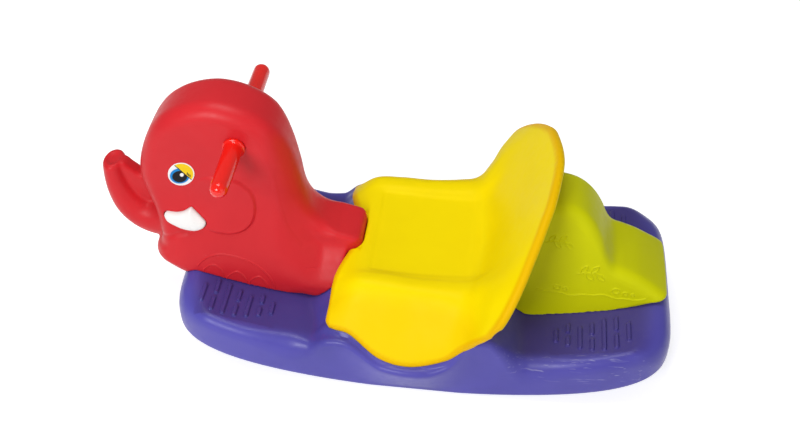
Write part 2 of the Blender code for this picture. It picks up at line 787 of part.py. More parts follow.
def tab_corner(half, tip):
    """The rounded corner of the tab's plan outline, from its tip to its side."""
    radius = tab_corner_round
    corner = []
    for i in range(notch_steps + 1):
        angle = 0.5 * pi * i / notch_steps
        corner.append((tip - radius + radius * cos(angle), half - radius + radius * sin(angle)))
    return corner


def prism(name, outline, low, high):
    points = [(x, y, z) for z in (low, high) for x, y in outline]
    count = len(outline)
    faces = ring_faces(2, count)
    faces.append(tuple(range(count)))
    faces.append(tuple(count + i for i in range(count)))
    return as_cutter(new_object(name, points, faces))


def build_notch():
    """The opening in the seat's front edge for the neck tab: its plan outline, cut straight down."""
    half = tab_half_width + clearance
    corner = tab_corner(half, tab_tip + tab_bow + tab_gap)
    front = hump_front[0]
    outline = [(front, -half)] + [(x, -y) for x, y in reversed(corner)] + corner + [(front, half)]
    return prism("notch", outline, flare_bottom, rump_top)


def build_tab_trim(side):
    """What the chest leaves to the seat: all behind the seat's front edge, except the tab."""
    edge = [(x - clearance, y) for x, y, z in seat_rows()[0] if y > tab_half_width]
    outer = edge[-1][1]
    behind = tab_tip + tab_corner_round
    corner = tab_corner(tab_half_width, tab_tip + tab_bow)
    outline = [(behind, corner[0][1])] + corner + edge + [(behind, outer)]
    return prism("tab_trim", [(x, side * y) for x, y in outline], 0.0, flare_top)


def joint_height(place, x, y):
    """Where the base's top meets the shell that a screw holds."""
    if place.startswith("seat"):
        return seat_surface(x, abs(y)) - pan_dish_depth - seat_wall
    return base_top_height(x, y)


def fasten(place, x, y, base, shell, material):
    """A well in the base's underside, a washer and a screw up into a shell."""
    seam = joint_height(place, x, y)
    roof = seam - well_roof
    bite = seat_screw_bite if place.startswith("seat") else screw_bite
    hole = screw_shank_radius + hole_clearance
    stepped = [(-cut_over, well_radius), (roof, well_radius), (roof, hole), (seam + cut_over, hole)]
    combine(base, as_cutter(turned("well", stepped, (x, y, 0), (0, 0, 1), well_sides)), "DIFFERENCE")
    bore = rod("screw_bore", screw_shank_radius + clearance, seam - cut_over, seam + bite + clearance,
               (x, y, 0), (0, 0, 1), screw_sides)
    combine(shell, bore, "DIFFERENCE")
    washer_top = roof - clearance
    washer_base = washer_top - washer_thickness
    ring = [
        (washer_base, hole), (washer_base, washer_radius),
        (washer_top, washer_radius), (washer_top, hole),
    ]
    turned("washer_" + place, ring, (x, y, 0), (0, 0, 1), well_sides, material, True)
    head_top = washer_base - clearance
    profile = [
        (head_top - screw_head_height, 0.6 * screw_head_radius),
        (head_top - 0.6 * screw_head_height, screw_head_radius),
        (head_top, screw_head_radius),
        (head_top, screw_shank_radius),
        (seam + bite - screw_point, screw_shank_radius),
        (seam + bite, 0.4 * screw_shank_radius),
    ]
    turned("screw_" + place, profile, (x, y, 0), (0, 0, 1), screw_sides, material)


for old in list(bpy.data.objects):
    bpy.data.objects.remove(old, do_unlink=True)

purple = new_material("base_purple", (0.105, 0.085, 0.400), 0.42)
yellow = new_material("seat_yellow", (0.880, 0.660, 0.005), 0.40)
red = new_material("shell_red", (0.640, 0.030, 0.042), 0.48)
green = new_material("rump_green", (0.500, 0.520, 0.010), 0.45)
glossy_red = new_material("grip_red", (0.880, 0.015, 0.008), 0.12)
white = new_material("tusk_white", (0.850, 0.840, 0.820), 0.35)
eye_paper = new_material("eye_sticker", (0.900, 0.900, 0.900), 0.30)
zinc = new_material("zinc", (0.600, 0.600, 0.620), 0.35, 1.0)

base = build_base(purple)
base_space = grown_copy(base, clearance)
combine(base, build_ribs(), "UNION")

seat = build_seat(yellow)
seat_space = grown_copy(seat, clearance)
combine(base, seat_space, "DIFFERENCE")

head = build_pillow("head_shell", smooth_loop(head_outline, 2), head_spine, head_width, head_rounding,
                    lambda x: head_crown * (1.0 - smoothstep(-0.200, -0.140, x)), red)
combine(head, build_trunk(), "UNION")
combine(head, build_web(), "UNION")
combine(head, base_space, "DIFFERENCE")
combine(seat, build_notch(), "DIFFERENCE")

rump = build_pillow("rump_shell", smooth_loop(rump_outline, 2), rump_spine, rump_width,
                    lambda x: rump_fillet, lambda x: rump_crown, green)
combine(rump, base_space, "DIFFERENCE")
combine(rump, seat_space, "DIFFERENCE")

for side, name in ((-1, "left"), (1, "right")):
    combine(head, build_tab_trim(side), "DIFFERENCE")
    combine(head, build_cheek(side), "UNION")
    tusk = build_tusk("tusk_" + name, side, white)
    combine(head, grown_copy(tusk, clearance), "DIFFERENCE")
    build_eye("eye_" + name, side, eye_paper)
    build_grip("grip_" + name, side, glossy_red)
cut_grip_sockets(head)
build_grip_rod(zinc)

shells = {"head": head, "seat": seat, "rump": rump}
for place, x, y in screw_places:
    fasten(place, x, y, base, shells[place.split("_")[0]], zinc)
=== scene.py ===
# Rocking elephant: finished shells, grips, tusks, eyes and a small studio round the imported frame
import bpy
import numpy as np
from math import radians, pi, sin, cos, hypot
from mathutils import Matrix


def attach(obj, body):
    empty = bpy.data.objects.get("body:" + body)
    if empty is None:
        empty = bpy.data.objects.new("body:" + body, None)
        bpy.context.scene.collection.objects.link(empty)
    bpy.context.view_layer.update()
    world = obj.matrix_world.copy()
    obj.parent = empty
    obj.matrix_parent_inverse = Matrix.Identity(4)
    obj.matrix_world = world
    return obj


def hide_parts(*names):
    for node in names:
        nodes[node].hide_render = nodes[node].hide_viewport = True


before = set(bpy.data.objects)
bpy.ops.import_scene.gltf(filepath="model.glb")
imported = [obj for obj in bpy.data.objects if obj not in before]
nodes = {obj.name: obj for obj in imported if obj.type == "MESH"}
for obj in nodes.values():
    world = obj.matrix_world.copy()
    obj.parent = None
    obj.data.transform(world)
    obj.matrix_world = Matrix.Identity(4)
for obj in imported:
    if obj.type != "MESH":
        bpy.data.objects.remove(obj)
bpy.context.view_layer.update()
bpy.context.scene.view_settings.view_transform = "Standard"


# Working tools

def pickOnly(*pieces):
    bpy.ops.object.select_all(action="DESELECT")
    for piece in pieces:
        piece.select_set(True)
    bpy.context.view_layer.objects.active = pieces[0]


def useModifier(piece, kind, **settings):
    pickOnly(piece)
    modifier = piece.modifiers.new(kind.lower(), kind)
    for key, value in settings.items():
        setattr(modifier, key, value)
    bpy.ops.object.modifier_apply(modifier=modifier.name)


def combine(piece, other, operation="DIFFERENCE"):
    useModifier(piece, "BOOLEAN", operation=operation, solver="EXACT", object=other)
    bpy.data.objects.remove(other, do_unlink=True)


def joinAll(pieces):
    pickOnly(*pieces)
    bpy.ops.object.join()
    return bpy.context.object


def copyOf(piece, name, grow=0.0):
    pickOnly(piece)
    bpy.ops.object.duplicate()
    made = bpy.context.object
    made.name = name
    if grow:
        useModifier(made, "DISPLACE", strength=grow, mid_level=0.0)
    return made


def readArray(piece, field):
    flat = np.empty(len(piece.data.vertices) * 3)
    piece.data.vertices.foreach_get(field, flat)
    return flat.reshape(-1, 3)


def writePoints(piece, points):
    piece.data.vertices.foreach_set("co", np.ascontiguousarray(points).ravel())
    piece.data.update()


def smoothstep(low, high, value):
    share = np.clip((value - low) / (high - low), 0.0, 1.0)
    return share * share * (3.0 - 2.0 * share)


def mix(a, b, share):
    return a + (b - a) * share


def curveAt(points, places):  # a smooth curve through rows of numbers, at places counted in rows
    rows = np.array(points, dtype=float)
    ends = np.concatenate([rows[:1], rows, rows[-1:]])
    at = np.clip(np.floor(places).astype(int), 0, len(rows) - 2)
    t = (places - at).reshape(-1, *[1] * (rows.ndim - 1))
    a, b, c, d = (ends[at + k] for k in range(4))
    bend, twist = 2 * a - 5 * b + 4 * c - d, 3 * b - a - 3 * c + d
    return b + 0.5 * ((c - a) * t + bend * t ** 2 + twist * t ** 3)


def smoothLoop(points, steps):
    rows = np.array(points, dtype=float)
    wrapped = np.concatenate([rows[-1:], rows, rows[:2]])
    return curveAt(wrapped, 1.0 + np.arange(len(rows) * steps) / steps)


def filletDrop(inset, radius):  # how far a rounded edge lies below the face that it leads to
    share = np.clip(1.0 - inset / radius, 0.0, 1.0)
    return radius * (1.0 - np.sqrt(1.0 - share * share))


def skin(name, rings, closed=True):
    # A grid laid over rings of points; a closed one is welded where its last column meets its first
    rings = np.array(rings)
    if closed:
        rings = np.concatenate([rings, rings[:, :1]], axis=1)
    rows, columns = rings.shape[:2]
    bpy.ops.object.select_all(action="DESELECT")
    bpy.ops.mesh.primitive_grid_add(x_subdivisions=columns - 1, y_subdivisions=rows - 1, size=1.0)
    piece = bpy.context.object
    piece.name = name
    piece.data.name = name
    flat = readArray(piece, "co")
    column = np.rint((flat[:, 0] + 0.5) * (columns - 1)).astype(int)
    row = np.rint((flat[:, 1] + 0.5) * (rows - 1)).astype(int)
    writePoints(piece, rings[row, column])
    if closed:
        weld(piece, 0.00001)
    return piece


def weld(piece, gap):
    pickOnly(piece)
    bpy.ops.object.mode_set(mode="EDIT")
    bpy.ops.mesh.select_all(action="SELECT")
    bpy.ops.mesh.remove_doubles(threshold=gap)
    bpy.ops.mesh.dissolve_degenerate(threshold=0.000001)
    bpy.ops.mesh.select_all(action="SELECT")
    bpy.ops.mesh.fill_holes(sides=0)
    bpy.ops.mesh.select_all(action="SELECT")
    bpy.ops.mesh.normals_make_consistent(inside=False)
    bpy.ops.object.mode_set(mode="OBJECT")


def prism(name, outline, low, high):
    return skin(name, [[(x, y, z) for x, y in outline] for z in (low, high)])


def lathe(name, profile, centre, axis, sides=64):  # profile of (distance along the axis, radius)
    along = np.array(axis, dtype=float)
    across = np.array((1.0, 0.0, 0.0))
    other = np.cross(along, across)
    turn = (np.arange(sides) / sides * 2 * pi)[:, None]
    spoke = across * np.cos(turn) + other * np.sin(turn)
    return skin(name, [np.array(centre) + along * d + spoke * radius for d, radius in profile])


def splitFaces(piece, wanted, cuts):  # finer faces where wanted(x, y, z) says so
    pickOnly(piece)
    bpy.ops.object.mode_set(mode="EDIT")
    bpy.ops.mesh.select_all(action="DESELECT")
    bpy.ops.object.mode_set(mode="OBJECT")
    centres = np.empty(len(piece.data.polygons) * 3)
    piece.data.polygons.foreach_get("center", centres)
    x, y, z = centres.reshape(-1, 3).T
    piece.data.polygons.foreach_set("select", wanted(x, y, z))
    bpy.ops.object.mode_set(mode="EDIT")
    bpy.ops.mesh.select_mode(type="FACE")
    bpy.ops.mesh.subdivide(number_cuts=cuts, quadcorner="INNERVERT")
    bpy.ops.mesh.select_mode(type="VERT")
    bpy.ops.object.mode_set(mode="OBJECT")


def lineDistance(x, z, lines):  # from points of a side view to the nearest of some drawn lines
    nearest = np.full(len(x), 1.0)
    for line in lines:
        for (x0, z0), (x1, z1) in zip(line, line[1:]):
            dx, dz = x1 - x0, z1 - z0
            t = np.clip(((x - x0) * dx + (z - z0) * dz) / max(dx * dx + dz * dz, 1e-12), 0.0, 1.0)
            nearest = np.minimum(nearest, np.hypot(x - x0 - dx * t, z - z0 - dz * t))
    return nearest


def raiseLines(piece, lines, sideWidth, width, height):  # thin raised lines on both side faces
    marks = np.concatenate(lines)
    margin = 0.006
    low, high = marks.min(axis=0) - margin, marks.max(axis=0) + margin

    def inZone(x, y, z):
        box = (x > low[0]) & (x < high[0]) & (z > low[1]) & (z < high[1])
        return box & (np.abs(y) > 0.75 * sideWidth(x, z))

    def near(x, y, z):
        chosen = inZone(x, y, z)
        chosen[chosen] = lineDistance(x[chosen], z[chosen], lines) < 2.2 * width + 0.0015
        return chosen

    splitFaces(piece, near, 3)
    points = readArray(piece, "co")
    x, y, z = points.T
    chosen = inZone(x, y, z)
    lift = height * np.exp(-(lineDistance(x[chosen], z[chosen], lines) / width) ** 2)
    points[chosen, 1] += np.sign(y[chosen]) * lift
    writePoints(piece, points)


def finishPiece(piece, material, replaced, angle):
    pickOnly(piece)
    bpy.ops.object.shade_smooth()
    bpy.ops.object.shade_smooth_by_angle(angle=radians(angle))
    piece.data.materials.clear()
    piece.data.materials.append(material)
    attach(piece, "root")
    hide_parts(*replaced)
    print("made", piece.name, len(piece.data.polygons), "faces")


# Materials

def addNode(material, kind, **settings):
    node = material.node_tree.nodes.new(kind)
    for key, value in settings.items():
        if key in node.inputs:
            node.inputs[key].default_value = value
        else:
            setattr(node, key, value)
    return node


def link(material, source, output, target, socket):
    material.node_tree.links.new(source.outputs[output], target.inputs[socket])


def spread(material, source, output, low, high, first=0.0, last=1.0):
    reach = {"From Min": low, "From Max": high, "To Min": first, "To Max": last}
    node = addNode(material, "ShaderNodeMapRange", **reach)
    link(material, source, output, node, "Value")
    return node


def blendColours(material, share, below, above):  # below and above are a colour or another blend
    node = addNode(material, "ShaderNodeMix", data_type="RGBA")
    link(material, share, 0, node, "Factor")
    for socket, value in (("A", below), ("B", above)):
        if isinstance(value, tuple):
            node.inputs[socket].default_value = (*value, 1.0)
        else:
            link(material, value, "Result", node, socket)
    return node


def noise(material, source, output, scale, detail):
    node = addNode(material, "ShaderNodeTexNoise", Scale=scale, Detail=detail)
    link(material, source, output, node, "Vector")
    return node


def multiply(material, source, output, factor):
    node = addNode(material, "ShaderNodeMath", operation="MULTIPLY")
    link(material, source, output, node, 0)
    if isinstance(factor, float):
        node.inputs[1].default_value = factor
    else:
        link(material, factor, "Fac", node, 1)
    return node


def newMaterial(name, roughness, metallic=0.0):
    material = bpy.data.materials.new(name)
    material.use_nodes = True
    shader = material.node_tree.nodes["Principled BSDF"]
    shader.inputs["Roughness"].default_value = roughness
    shader.inputs["Metallic"].default_value = metallic
    return material, shader


plasticLook = {
    "cloudScale": 9.0,       # soft colour clouds of the moulded skin, per metre
    "clouds": (0.35, 0.75),
    "edges": (0.54, 0.68, 0.0, 0.16),  # pointiness of the edges, and how pale they turn
    "edgePale": 0.30,
    "scratchStretch": (28.0, 260.0, 260.0),
    "scratchTurn": (0.0, 0.0, 0.5),
    "scratches": (0.62, 0.74),
    "scratchPale": 0.45,
    "wear": 0.4,
    "scuffScale": 90.0,
    "scuffs": (-0.05, 0.07),  # how far scuffs move the roughness
    "grainScale": 1300.0,    # fine matte grain
    "grainDepth": 0.00010,
    "grainStrength": 0.30,
}


def mouldedPlastic(name, colour, shadow, roughness, specular, grain=1.0, shadeColour=None):
    look = plasticLook
    material, shader = newMaterial(name, roughness)
    place = addNode(material, "ShaderNodeTexCoord")
    clouds = noise(material, place, "Object", look["cloudScale"], 3.0)
    tint = blendColours(material, spread(material, clouds, "Fac", *look["clouds"]), colour, shadow)
    # Painted shade: a point attribute from 0 to 1 darkens the colour towards the given shade colour
    if shadeColour:
        paintedShade = addNode(material, "ShaderNodeAttribute", attribute_name="paintedShade")
        tint = blendColours(material, spread(material, paintedShade, "Fac", 0.0, 1.0), tint, shadeColour)
    shape = addNode(material, "ShaderNodeNewGeometry")
    # Convex edges, found by pointiness, blend a little towards a paler colour
    edge = spread(material, shape, "Pointiness", *look["edges"])
    paleEdged = blendColours(material, edge, tint, tuple(mix(c, 1.0, look["edgePale"]) for c in colour))

    # Fine scratches, only where the piece's wear attribute lets them show
    stretch = addNode(material, "ShaderNodeMapping", Scale=look["scratchStretch"],
                      Rotation=look["scratchTurn"])
    link(material, place, "Object", stretch, "Vector")
    streaks = noise(material, stretch, "Vector", 1.0, 2.0)
    thin = spread(material, streaks, "Fac", *look["scratches"])
    reach = addNode(material, "ShaderNodeAttribute", attribute_name="wear")
    faint = multiply(material, multiply(material, thin, "Result", reach), 0, look["wear"])
    scratched = blendColours(material, faint, paleEdged, tuple(mix(c, 1.0, look["scratchPale"]) for c in colour))
    link(material, scratched, "Result", shader, "Base Color")
    shader.inputs["Specular IOR Level"].default_value = specular

    scuffs = noise(material, place, "Object", look["scuffScale"], 4.0)
    sheen = spread(material, scuffs, "Fac", 0.3, 0.7, *(roughness + step for step in look["scuffs"]))
    link(material, sheen, "Result", shader, "Roughness")
    grainy = noise(material, place, "Object", look["grainScale"], 2.0)
    bump = addNode(material, "ShaderNodeBump", Strength=look["grainStrength"] * grain,
                   Distance=look["grainDepth"])
    link(material, grainy, "Fac", bump, "Height")
    link(material, bump, "Normal", shader, "Normal")
    return material


def zincPlate(name):
    material, shader = newMaterial(name, 0.34, 1.0)
    clouds = noise(material, addNode(material, "ShaderNodeTexCoord"), "Object", 400.0, 3.0)
    share = spread(material, clouds, "Fac", 0.3, 0.7)
    tint = blendColours(material, share, (0.62, 0.62, 0.64), (0.50, 0.50, 0.54))
    link(material, tint, "Result", shader, "Base Color")
    dull = spread(material, clouds, "Fac", 0.3, 0.7, 0.28, 0.42)
    link(material, dull, "Result", shader, "Roughness")
    return material


# Name, colour, colour of the clouds, roughness and specular level, and for the base and seat the darker
# colour of their painted shade
purplePlastic = mouldedPlastic("purple moulded plastic", (0.088, 0.076, 0.410), (0.068, 0.058, 0.330),
                               0.34, 0.30, shadeColour=(0.060, 0.044, 0.245))
yellowPlastic = mouldedPlastic("yellow moulded plastic", (0.940, 0.745, 0.000), (0.910, 0.710, 0.000),
                               0.46, 0.06, shadeColour=(0.820, 0.480, 0.000))
redPlastic = mouldedPlastic("red moulded plastic", (0.650, 0.018, 0.025), (0.600, 0.015, 0.022),
                            0.40, 0.24)
greenPlastic = mouldedPlastic("lime moulded plastic", (0.620, 0.630, 0.001), (0.580, 0.590, 0.001),
                              0.46, 0.10)
glossyRed = mouldedPlastic("glossy red plastic", (0.860, 0.012, 0.006), (0.800, 0.010, 0.005),
                           0.13, 0.5, grain=0.1)
whitePlastic = mouldedPlastic("white plastic", (0.900, 0.890, 0.875), (0.870, 0.860, 0.840),
                              0.30, 0.4, grain=0.2)
zinc = zincPlate("zinc plate")


# Saddle seat: sections from the middle to the right flap's edge

seatSizes = {
    "front": -0.122,         # front edge of the pan in the middle
    "height": 0.172,
    "backHeight": 0.365,
    "wall": 0.014,
    "panDish": 0.0012,
    "panEdges": ((0.091, 0.101), (-0.091, -0.081), (0.070, 0.130)),  # beside, before and behind the dish
    "lineDepth": 0.0006,     # thin moulded line round the pan
    "lineEnd": (-0.010, 0.040),
    "cornerRound": 0.020,    # front lower corners of the flaps
    "notchRound": 0.0035,
    "notchGap": 0.0015,      # in front of the head's tab
    "notchHeights": (0.100, 0.260),
    "steps": (17, 13),       # between sections, and across them
    "edgeGaps": (0.028, 0.115, 0.014),  # from the front, rear and side edges to the next points
}


def seatSections():
    pan, back = seatSizes["height"], seatSizes["backHeight"]
    rows = (                 # where x and z start, then points of x, y and z
        (seatSizes["front"], pan,
         (0.002, 0, 0.001), (-0.022, 0.085, -0.009), (-0.028, 0.112, -0.021), (-0.029, 0.130, -0.031),
         (-0.030, 0.145, -0.040), (-0.031, 0.158, -0.046), (-0.031, 0.169, -0.053), (-0.026, 0.180, -0.059)),
        (0.0, pan,
         (-0.102, 0, 0.002), (-0.106, 0.085, 0.005), (-0.108, 0.113, 0.008), (-0.108, 0.130, 0.006),
         (-0.109, 0.146, -0.006), (-0.110, 0.161, -0.023), (-0.111, 0.174, -0.040), (-0.112, 0.187, -0.058)),
        (-0.060, pan,
         (0, 0, 0), (0, 0.085, 0.003), (0, 0.113, 0.011), (0, 0.132, 0.010),
         (0, 0.148, -0.003), (0, 0.170, -0.032), (0, 0.190, -0.060), (0, 0.209, -0.086)),
        (-0.008, pan,
         (0, 0, -0.002), (0, 0.087, 0.001), (0, 0.116, 0.008), (0, 0.135, 0.007),
         (0, 0.151, -0.007), (0, 0.173, -0.037), (0, 0.195, -0.066), (0, 0.215, -0.094)),
        (0.0, pan,
         (0.044, 0, -0.001), (0.044, 0.087, 0.002), (0.044, 0.117, 0.009), (0.044, 0.137, 0.009),
         (0.045, 0.154, -0.002), (0.046, 0.176, -0.030), (0.047, 0.195, -0.056), (0.048, 0.209, -0.080)),
        (0.0, pan,
         (0.078, 0, 0.001), (0.077, 0.087, 0.005), (0.076, 0.118, 0.013), (0.076, 0.140, 0.013),
         (0.076, 0.160, 0.003), (0.076, 0.181, -0.016), (0.075, 0.199, -0.035), (0.074, 0.209, -0.050)),
        (0.0, pan,
         (0.103, 0, 0.010), (0.100, 0.087, 0.018), (0.098, 0.121, 0.032), (0.097, 0.148, 0.036),
         (0.096, 0.173, 0.022), (0.096, 0.195, 0.004), (0.094, 0.210, -0.010), (0.091, 0.217, -0.024)),
        (0.0, 0.5 * (pan + back),
         (0.140, 0, -0.018), (0.134, 0.087, -0.022), (0.130, 0.127, -0.023), (0.124, 0.160, -0.026),
         (0.119, 0.190, -0.038), (0.114, 0.211, -0.060), (0.110, 0.222, -0.083), (0.106, 0.225, -0.103)),
        (0.0, back,
         (0.2035, 0, 0), (0.1945, 0.080, -0.012), (0.184, 0.121, -0.030), (0.171, 0.162, -0.058),
         (0.156, 0.200, -0.092), (0.140, 0.226, -0.124), (0.128, 0.235, -0.153), (0.119, 0.231, -0.184)),
    )
    return [[(place + x, y, level + z) for x, y, z in points] for place, level, *points in rows]


def edgedPlaces(count, steps, firstGap, lastGap):  # closer together near both edges of the sheet
    close = np.array((0.0, 0.0003, 0.0010, 0.0020, 0.0034, 0.0050, 0.0068))
    first, last = close / firstGap, count - 1 - close[::-1] / lastGap
    inner = np.arange(1, (count - 1) * steps) / steps
    inner = inner[(inner > first[-1] + 0.4 / steps) & (inner < last[0] - 0.4 / steps)]
    return np.concatenate([first, inner, last])


def seatRows():
    halves = seatSections()
    frontGap, rearGap, sideGap = seatSizes["edgeGaps"]
    columns = edgedPlaces(2 * len(halves[0]) - 1, seatSizes["steps"][1], sideGap, sideGap)
    across = []
    for half in halves:
        whole = [(x, -y, z) for x, y, z in reversed(half[1:])] + half
        across.append(curveAt(whole, columns))
    return curveAt(np.array(across), edgedPlaces(len(halves), seatSizes["steps"][0], frontGap, rearGap))


seatGrid = seatRows()
rightHalf = seatGrid[:, seatGrid.shape[1] // 2:]
flapEdge = rightHalf[:, -1]


def panShare(x, y):  # 1 inside the outline of the pan's shallow dish
    beside, before, behind = seatSizes["panEdges"]
    return (1.0 - smoothstep(*beside, abs(y))) * smoothstep(*before, x) * (1.0 - smoothstep(*behind, x))


def tabCorner(half, tip):
    angle = np.linspace(0.0, pi / 2, 13)
    radius = headSizes["tabCornerRound"]
    return np.stack([tip - radius + radius * np.cos(angle), half - radius + radius * np.sin(angle)], axis=1)


def notchOutline():
    wide = headSizes["tabHalfWidth"]
    corner = tabCorner(wide, headSizes["tabTip"] + seatSizes["notchGap"])
    half = np.concatenate([corner, [(-0.190, wide)]])
    return np.concatenate([half[::-1] * (1, -1), half])


def sheetLengths(grid, axis):  # distance along the grid's lines from their starts
    steps = np.linalg.norm(np.diff(grid, axis=axis), axis=2)
    pad = [(1, 0), (0, 0)] if axis == 0 else [(0, 0), (1, 0)]
    return np.pad(np.cumsum(steps, axis=axis), pad)


def buildSeat():
    points = seatGrid.copy()
    x, y = points[..., 0], points[..., 1]
    share = panShare(x, y)
    line = np.exp(-((share - 0.5) / 0.22) ** 2) * (1.0 - smoothstep(*seatSizes["lineEnd"], x))
    points[..., 2] -= seatSizes["panDish"] * share + seatSizes["lineDepth"] * line
    down, over = np.gradient(points, axis=0), np.gradient(points, axis=1)
    normal = np.cross(down, over)
    normal /= np.linalg.norm(normal, axis=2)[..., None]
    if normal[..., 2].mean() < 0:
        normal = -normal

    # Round the front lower corners of the flaps
    radius = seatSizes["cornerRound"]
    fromFront, along = sheetLengths(points, 0), sheetLengths(points, 1)
    down /= np.linalg.norm(down, axis=2)[..., None]
    over /= np.linalg.norm(over, axis=2)[..., None]
    for fromSide, inward in ((along, over), (along[:, -1:] - along, -over)):
        u = np.clip(1.0 - fromFront / radius, 0.0, 1.0)
        v = np.clip(1.0 - fromSide / radius, 0.0, 1.0)
        moveIn = (radius * (u - u * np.sqrt(1.0 - v * v / 2)))[..., None]
        moveSide = (radius * (v - v * np.sqrt(1.0 - u * u / 2)))[..., None]
        points = points + down * moveIn + inward * moveSide

    # Round the rim: both faces of the wall close in on its middle
    border = np.concatenate([points[0, :-1], points[:-1, -1], points[-1, :0:-1], points[:0:-1, 0]])
    flat = points.reshape(-1, 3)
    distance = np.full(len(flat), 1.0)
    nearby = 0.016
    for start, end in zip(border, np.roll(border, -1, axis=0)):
        near = np.nonzero(np.abs(flat - start).max(axis=1) < nearby)[0]
        edge = end - start
        t = np.clip((flat[near] - start) @ edge / max(edge @ edge, 1e-14), 0.0, 1.0)
        gap = np.linalg.norm(flat[near] - start - t[:, None] * edge, axis=1)
        distance[near] = np.minimum(distance[near], gap)
    drop = filletDrop(distance, seatSizes["wall"] / 2).reshape(points.shape[:2])[..., None]
    outer = skin("saddleSeat", points - normal * drop, closed=False)
    inner = skin("seatUnderside", points - normal * (seatSizes["wall"] - drop), closed=False)
    seat = joinAll([outer, inner])
    weld(seat, 0.00002)
    return seat


def cutNotch(seat):
    outline = notchOutline()
    radius = seatSizes["notchRound"]
    splitFaces(seat, lambda x, y, z: (lineDistance(x, y, [outline]) < 2 * radius) & (x < -0.09), 2)
    points = readArray(seat, "co")
    x, y, z = points.T
    up = readArray(seat, "normal")[:, 2] > 0.3
    inside = (np.abs(y) < headSizes["tabHalfWidth"]) & (x < headSizes["tabTip"])
    gap = np.where(inside, 0.0, lineDistance(x, y, [outline]))
    points[:, 2] -= np.where(up & (x < -0.08), filletDrop(gap, radius), 0.0)
    writePoints(seat, points)
    combine(seat, prism("notch", outline, *seatSizes["notchHeights"]))


# Rocker base: one closed moulding from the middle of its underside up and over to the middle of its top

baseSizes = {
    "halfLength": 0.4165,
    "halfWidth": 0.200,
    "cornerPower": 6.0,
    "rockerRadius": 1.35,
    "land": 0.150,           # flat in the middle of the rocking arc
    "depth": 0.074,
    "sideRound": (0.018, 0.024),
    "endRound": (0.036, 0.054),
    "softenBefore": 0.100,
    "bottomFillet": 0.010,
    "ledgeRound": 0.0095,    # the ledge lies beside the seat's flap
    "ledgeWidth": 0.0085,
    "ledgeHalfLength": 0.125,
    "ledgeFront": (-0.212, -0.142),
    "humpSink": 0.009,
    "humpGap": 0.002,
    "rimWidth": 0.012,
    "humpFront": (-0.195, -0.118),
    "humpFrontRim": (-0.178, -0.145),
    "humpRear": (0.112, 0.182),
    "humpRimReach": (0.090, 0.140),
    "humpRearHeight": 0.136,
}
ribSizes = {
    "pitch": 0.0192,
    "width": 0.0076,
    "height": 0.0040,
    "edge": 0.0015,
    "margin": 0.006,         # of finer faces round the ribs
    "band": (0.092, 0.171),  # y between which all ribs lie
    "starts": (-0.2485, 0.2265),
    "spans": (
        ((0.118, 0.146),), ((0.107, 0.127), (0.134, 0.155)), ((0.114, 0.162),),
        ((0.108, 0.133), (0.140, 0.166)), ((0.099, 0.167),), ((0.096, 0.127), (0.133, 0.164)),
        ((0.110, 0.150),),
    ),
}
screwPlaces = {              # x and y
    "head_front": (-0.345, 0.0),
    "head_rear": (-0.235, 0.0),
    "seat_left": (-0.013, -0.062),
    "seat_right": (-0.013, 0.062),
    "rump_front": (0.225, 0.0),
    "rump_rear": (0.340, 0.0),
}
screwSizes = {
    "roof": 0.012,           # of the well, below the seam between the shells
    "hole": 0.0036,          # radii
    "head": 0.0065,
    "shank": 0.0030,
    "core": 0.0024,
    "washer": 0.0120,
    "washerHole": 0.0037,
    "washerThick": 0.0020,
    "gap": 0.0003,           # over and under the washer
    "headHeight": 0.0045,
    "pitch": 0.0016,
    "bites": (0.009, 0.024),  # past the seam, in the seat and in the other shells
    "drive": (0.0034, 0.0006),
}


def arcHeight(x):
    return x * x / (2.0 * baseSizes["rockerRadius"])


def humpShare(x, across):
    rim = smoothstep(*baseSizes["humpRimReach"], across)
    low, high = (mix(a, b, rim) for a, b in zip(baseSizes["humpFront"], baseSizes["humpFrontRim"]))
    return smoothstep(low, high, x) * (1.0 - smoothstep(*baseSizes["humpRear"], x))


def seatSurface(x, across):  # height of the seat's outer face, and past a flap the height of its edge
    height = None
    for row in rightHalf[::3]:
        reach = np.maximum.accumulate(row[:, 1])
        markX = np.interp(across, reach, row[:, 0])
        markZ = np.interp(across, reach, row[:, 2])
        if height is None:
            height = markZ.copy()
        else:
            share = np.clip((x - lastX) / (markX - lastX), 0.0, 1.0)
            height = np.where(x > lastX, mix(lastZ, markZ, share), height)
        lastX, lastZ = markX, markZ
    return height


def baseTop(x, y):
    sizes = baseSizes
    platform = sizes["depth"] + arcHeight(x)
    reach = np.interp(x, flapEdge[:, 0], flapEdge[:, 1])
    inside = smoothstep(0.0, sizes["rimWidth"], reach - sizes["rimWidth"] - abs(y))
    full = seatSizes["wall"] + 0.004 + sizes["humpGap"]
    under = seatSurface(x, abs(y)) - mix(sizes["humpSink"], full, inside)
    rear = sizes["humpRear"][0]
    cap = mix(seatSizes["height"], sizes["humpRearHeight"], smoothstep(0.4 * rear, 0.8 * rear, x))
    return mix(platform, np.maximum(platform, np.minimum(under, cap)), humpShare(x, abs(y)))


def edgeRounding(x):  # how far the top edge's rounding reaches in and down
    sizes = baseSizes
    ends = smoothstep(0.84 * sizes["halfLength"], 0.97 * sizes["halfLength"], np.abs(x))
    before = smoothstep(sizes["humpFront"][0] - sizes["softenBefore"], sizes["humpFront"][0], x)
    behind = 1.0 - smoothstep(sizes["humpRear"][1], sizes["humpRear"][1] + sizes["softenBefore"], x)
    soft = np.maximum(ends, 0.6 * np.minimum(before, behind))
    low, high = sizes["humpRear"]
    ledge = smoothstep(*sizes["ledgeFront"], x) * (1.0 - smoothstep(low - 0.005, high, x))
    return [mix(mix(side, end, soft), sizes["ledgeRound"], ledge)
            for side, end in zip(sizes["sideRound"], sizes["endRound"])]


